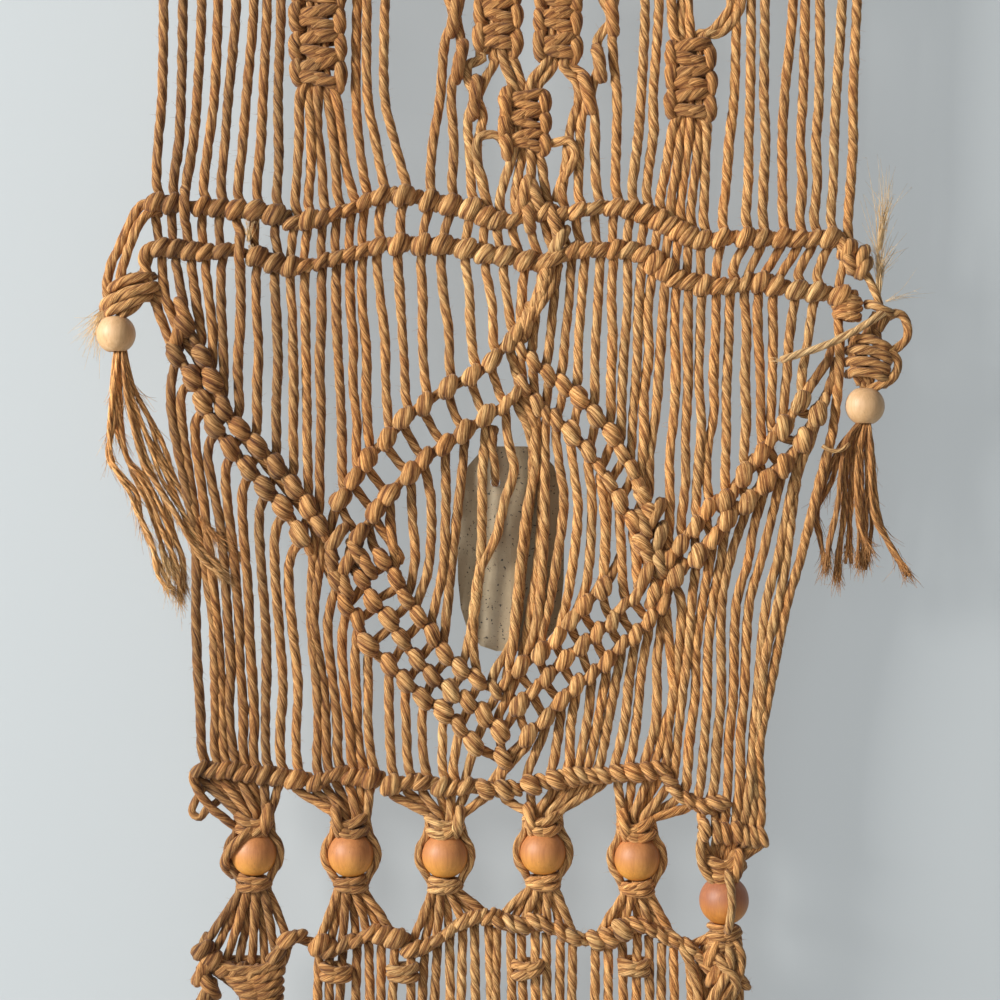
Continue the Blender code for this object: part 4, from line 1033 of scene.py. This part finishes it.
def turned_bead(node, x, drop, radius, material):
    """A round bead with a softened bore."""
    lip = 0.9
    segments = BEAD_SEGMENTS
    pole = math.asin((BORE + lip) / radius)
    profile = []
    for band in range(BEAD_BANDS + 1):
        angle = pole + (math.pi - 2 * pole) * band / BEAD_BANDS
        profile.append((radius * math.sin(angle), radius * math.cos(angle)))
    rim = profile[0][1]
    for end, angles in ((-1, (30, 60, 90)), (1, (90, 60, 30))):
        for angle in angles:
            a = math.radians(angle)
            profile.append((BORE + lip * (1 - math.sin(a)), end * (rim - lip * (1 - math.cos(a)) * 0.8)))
    around = 2 * math.pi * np.arange(segments) / segments
    vertices, tone = [], []
    for out, up in profile:
        for a in around:
            vertices.append(((x + out * math.cos(a)) * MM, out * math.sin(a) * MM, (up - drop) * MM))
            tone.append(((up / radius + 1) / 2, 0.0, 0.0))
    n = len(profile)
    grid = np.arange(n * segments).reshape(n, segments)
    after = np.roll(grid, -1, axis=1)
    lower, lower_after = np.roll(grid, -1, axis=0), np.roll(after, -1, axis=0)
    faces = np.stack([grid, lower, lower_after, after], axis=-1).reshape(-1, 4).tolist()
    mesh = bpy.data.meshes.new(node + "_turned")
    mesh.from_pydata(vertices, [], faces)
    mark(mesh, "tone", tone)
    mesh.shade_smooth()
    mesh.materials.append(material)
    piece = put(node + "_turned", mesh)
    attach(piece, "root")
    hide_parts(node)


honey = wood_material("honey_wood", (0.42, 0.155, 0.048), (0.50, 0.195, 0.062), (0.56, 0.235, 0.08),
                      (1.34, 1.46, 0.70, 1))
russet = wood_material("russet_wood", (0.32, 0.11, 0.048), (0.38, 0.135, 0.056), (0.44, 0.17, 0.07),
                       (1.50, 1.60, 0.55, 1))
pale_wood = wood_material("pale_wood", (0.55, 0.33, 0.155), (0.63, 0.39, 0.20), (0.69, 0.46, 0.26),
                          (1.0, 0.97, 0.88, 1))
for node, _, _, x, drop, radius in BEADS:
    turned_bead(node, x, drop, radius, russet if node == "bead_6" else honey)
for node, x, drop, radius in SMALL_BEADS:
    turned_bead(node, x, drop, radius, pale_wood)

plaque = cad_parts["plaque"]
plaque.data.materials.clear()
plaque.data.materials.append(stoneware_material())


# Light, backdrop and camera

def plane(name, corners, colour, glow=None):
    """A stage surface. One with a glow, the light that a lit room returns to it from its left to its
    right side, is seen from the front alone, so that the object's back shows too."""
    mesh = bpy.data.meshes.new(name)
    mesh.from_pydata(corners, [], [(0, 1, 2, 3)])
    n = Nodes(name)
    n.fill(n.shader, Base_Color=(*colour, 1), Roughness=0.9)
    if glow:
        side = n.math("ADD", n.parts(n.place())[0], 0.5)
        strength = n.ramp(side, (0.22, grey(glow[0])), (0.78, grey(glow[1])))
        n.fill(n.shader, Emission_Color=(0.92, 0.98, 1.0, 1), Emission_Strength=strength)
        clear = n.add("ShaderNodeBsdfTransparent")
        rear = n.add("ShaderNodeNewGeometry").outputs["Backfacing"]
        either = n.add("ShaderNodeMixShader", Fac=rear)
        n.set(either, "1", n.shader.outputs[0])
        n.set(either, "2", clear.outputs[0])
        n.set(n.tree.nodes["Material Output"], "Surface", either.outputs[0])
    mesh.materials.append(n.material)
    put(name, mesh)


def area_light(name, place, size, power, colour):
    """A square light that shines on the middle of the view."""
    light = bpy.data.lights.new(name, "AREA")
    light.size = size
    light.energy = power
    light.color = colour
    obj = put(name, light)
    obj.location = place
    obj.rotation_euler = (Vector(MIDDLE) - Vector(place)).to_track_quat("-Z", "Y").to_euler()


WALL = 0.042
FLOOR = -0.80
MIDDLE = (-0.0025, 0.0, -0.315)        # of the view
VIEW_WIDTH = 0.5                       # at the cloth's middle plane
DISTANCE = 1.15
SENSOR = 36
plane("backdrop", ((-3, WALL, FLOOR), (3, WALL, FLOOR), (3, WALL, 2), (-3, WALL, 2)),
      (0.185, 0.197, 0.20), (0.42, 0.34))
plane("floor", ((-4, -4, FLOOR), (4, -4, FLOOR), (4, 3, FLOOR), (-4, 3, FLOOR)), (0.50, 0.51, 0.52))
area_light("key", (-2.1, -1.3, 0.45), size=0.8, power=102, colour=(1.0, 0.985, 0.96))
area_light("fill", (-0.4, -2.4, 0.3), size=1.6, power=11, colour=(0.96, 0.98, 1.0))

scene = bpy.context.scene
scene.world = scene.world or bpy.data.worlds.new("studio")
scene.world.use_nodes = True
ambient = scene.world.node_tree.nodes["Background"].inputs
ambient["Color"].default_value = (0.90, 0.95, 1.0, 1)
ambient["Strength"].default_value = 0.13
scene.view_settings.view_transform = "Standard"

lens = bpy.data.cameras.new("camera")
lens.sensor_width = SENSOR
lens.lens = SENSOR * DISTANCE / VIEW_WIDTH
camera = put("camera", lens)
camera.location = (MIDDLE[0], -DISTANCE, MIDDLE[2])
camera.rotation_euler = (math.radians(90), 0, 0)
scene.camera = camera
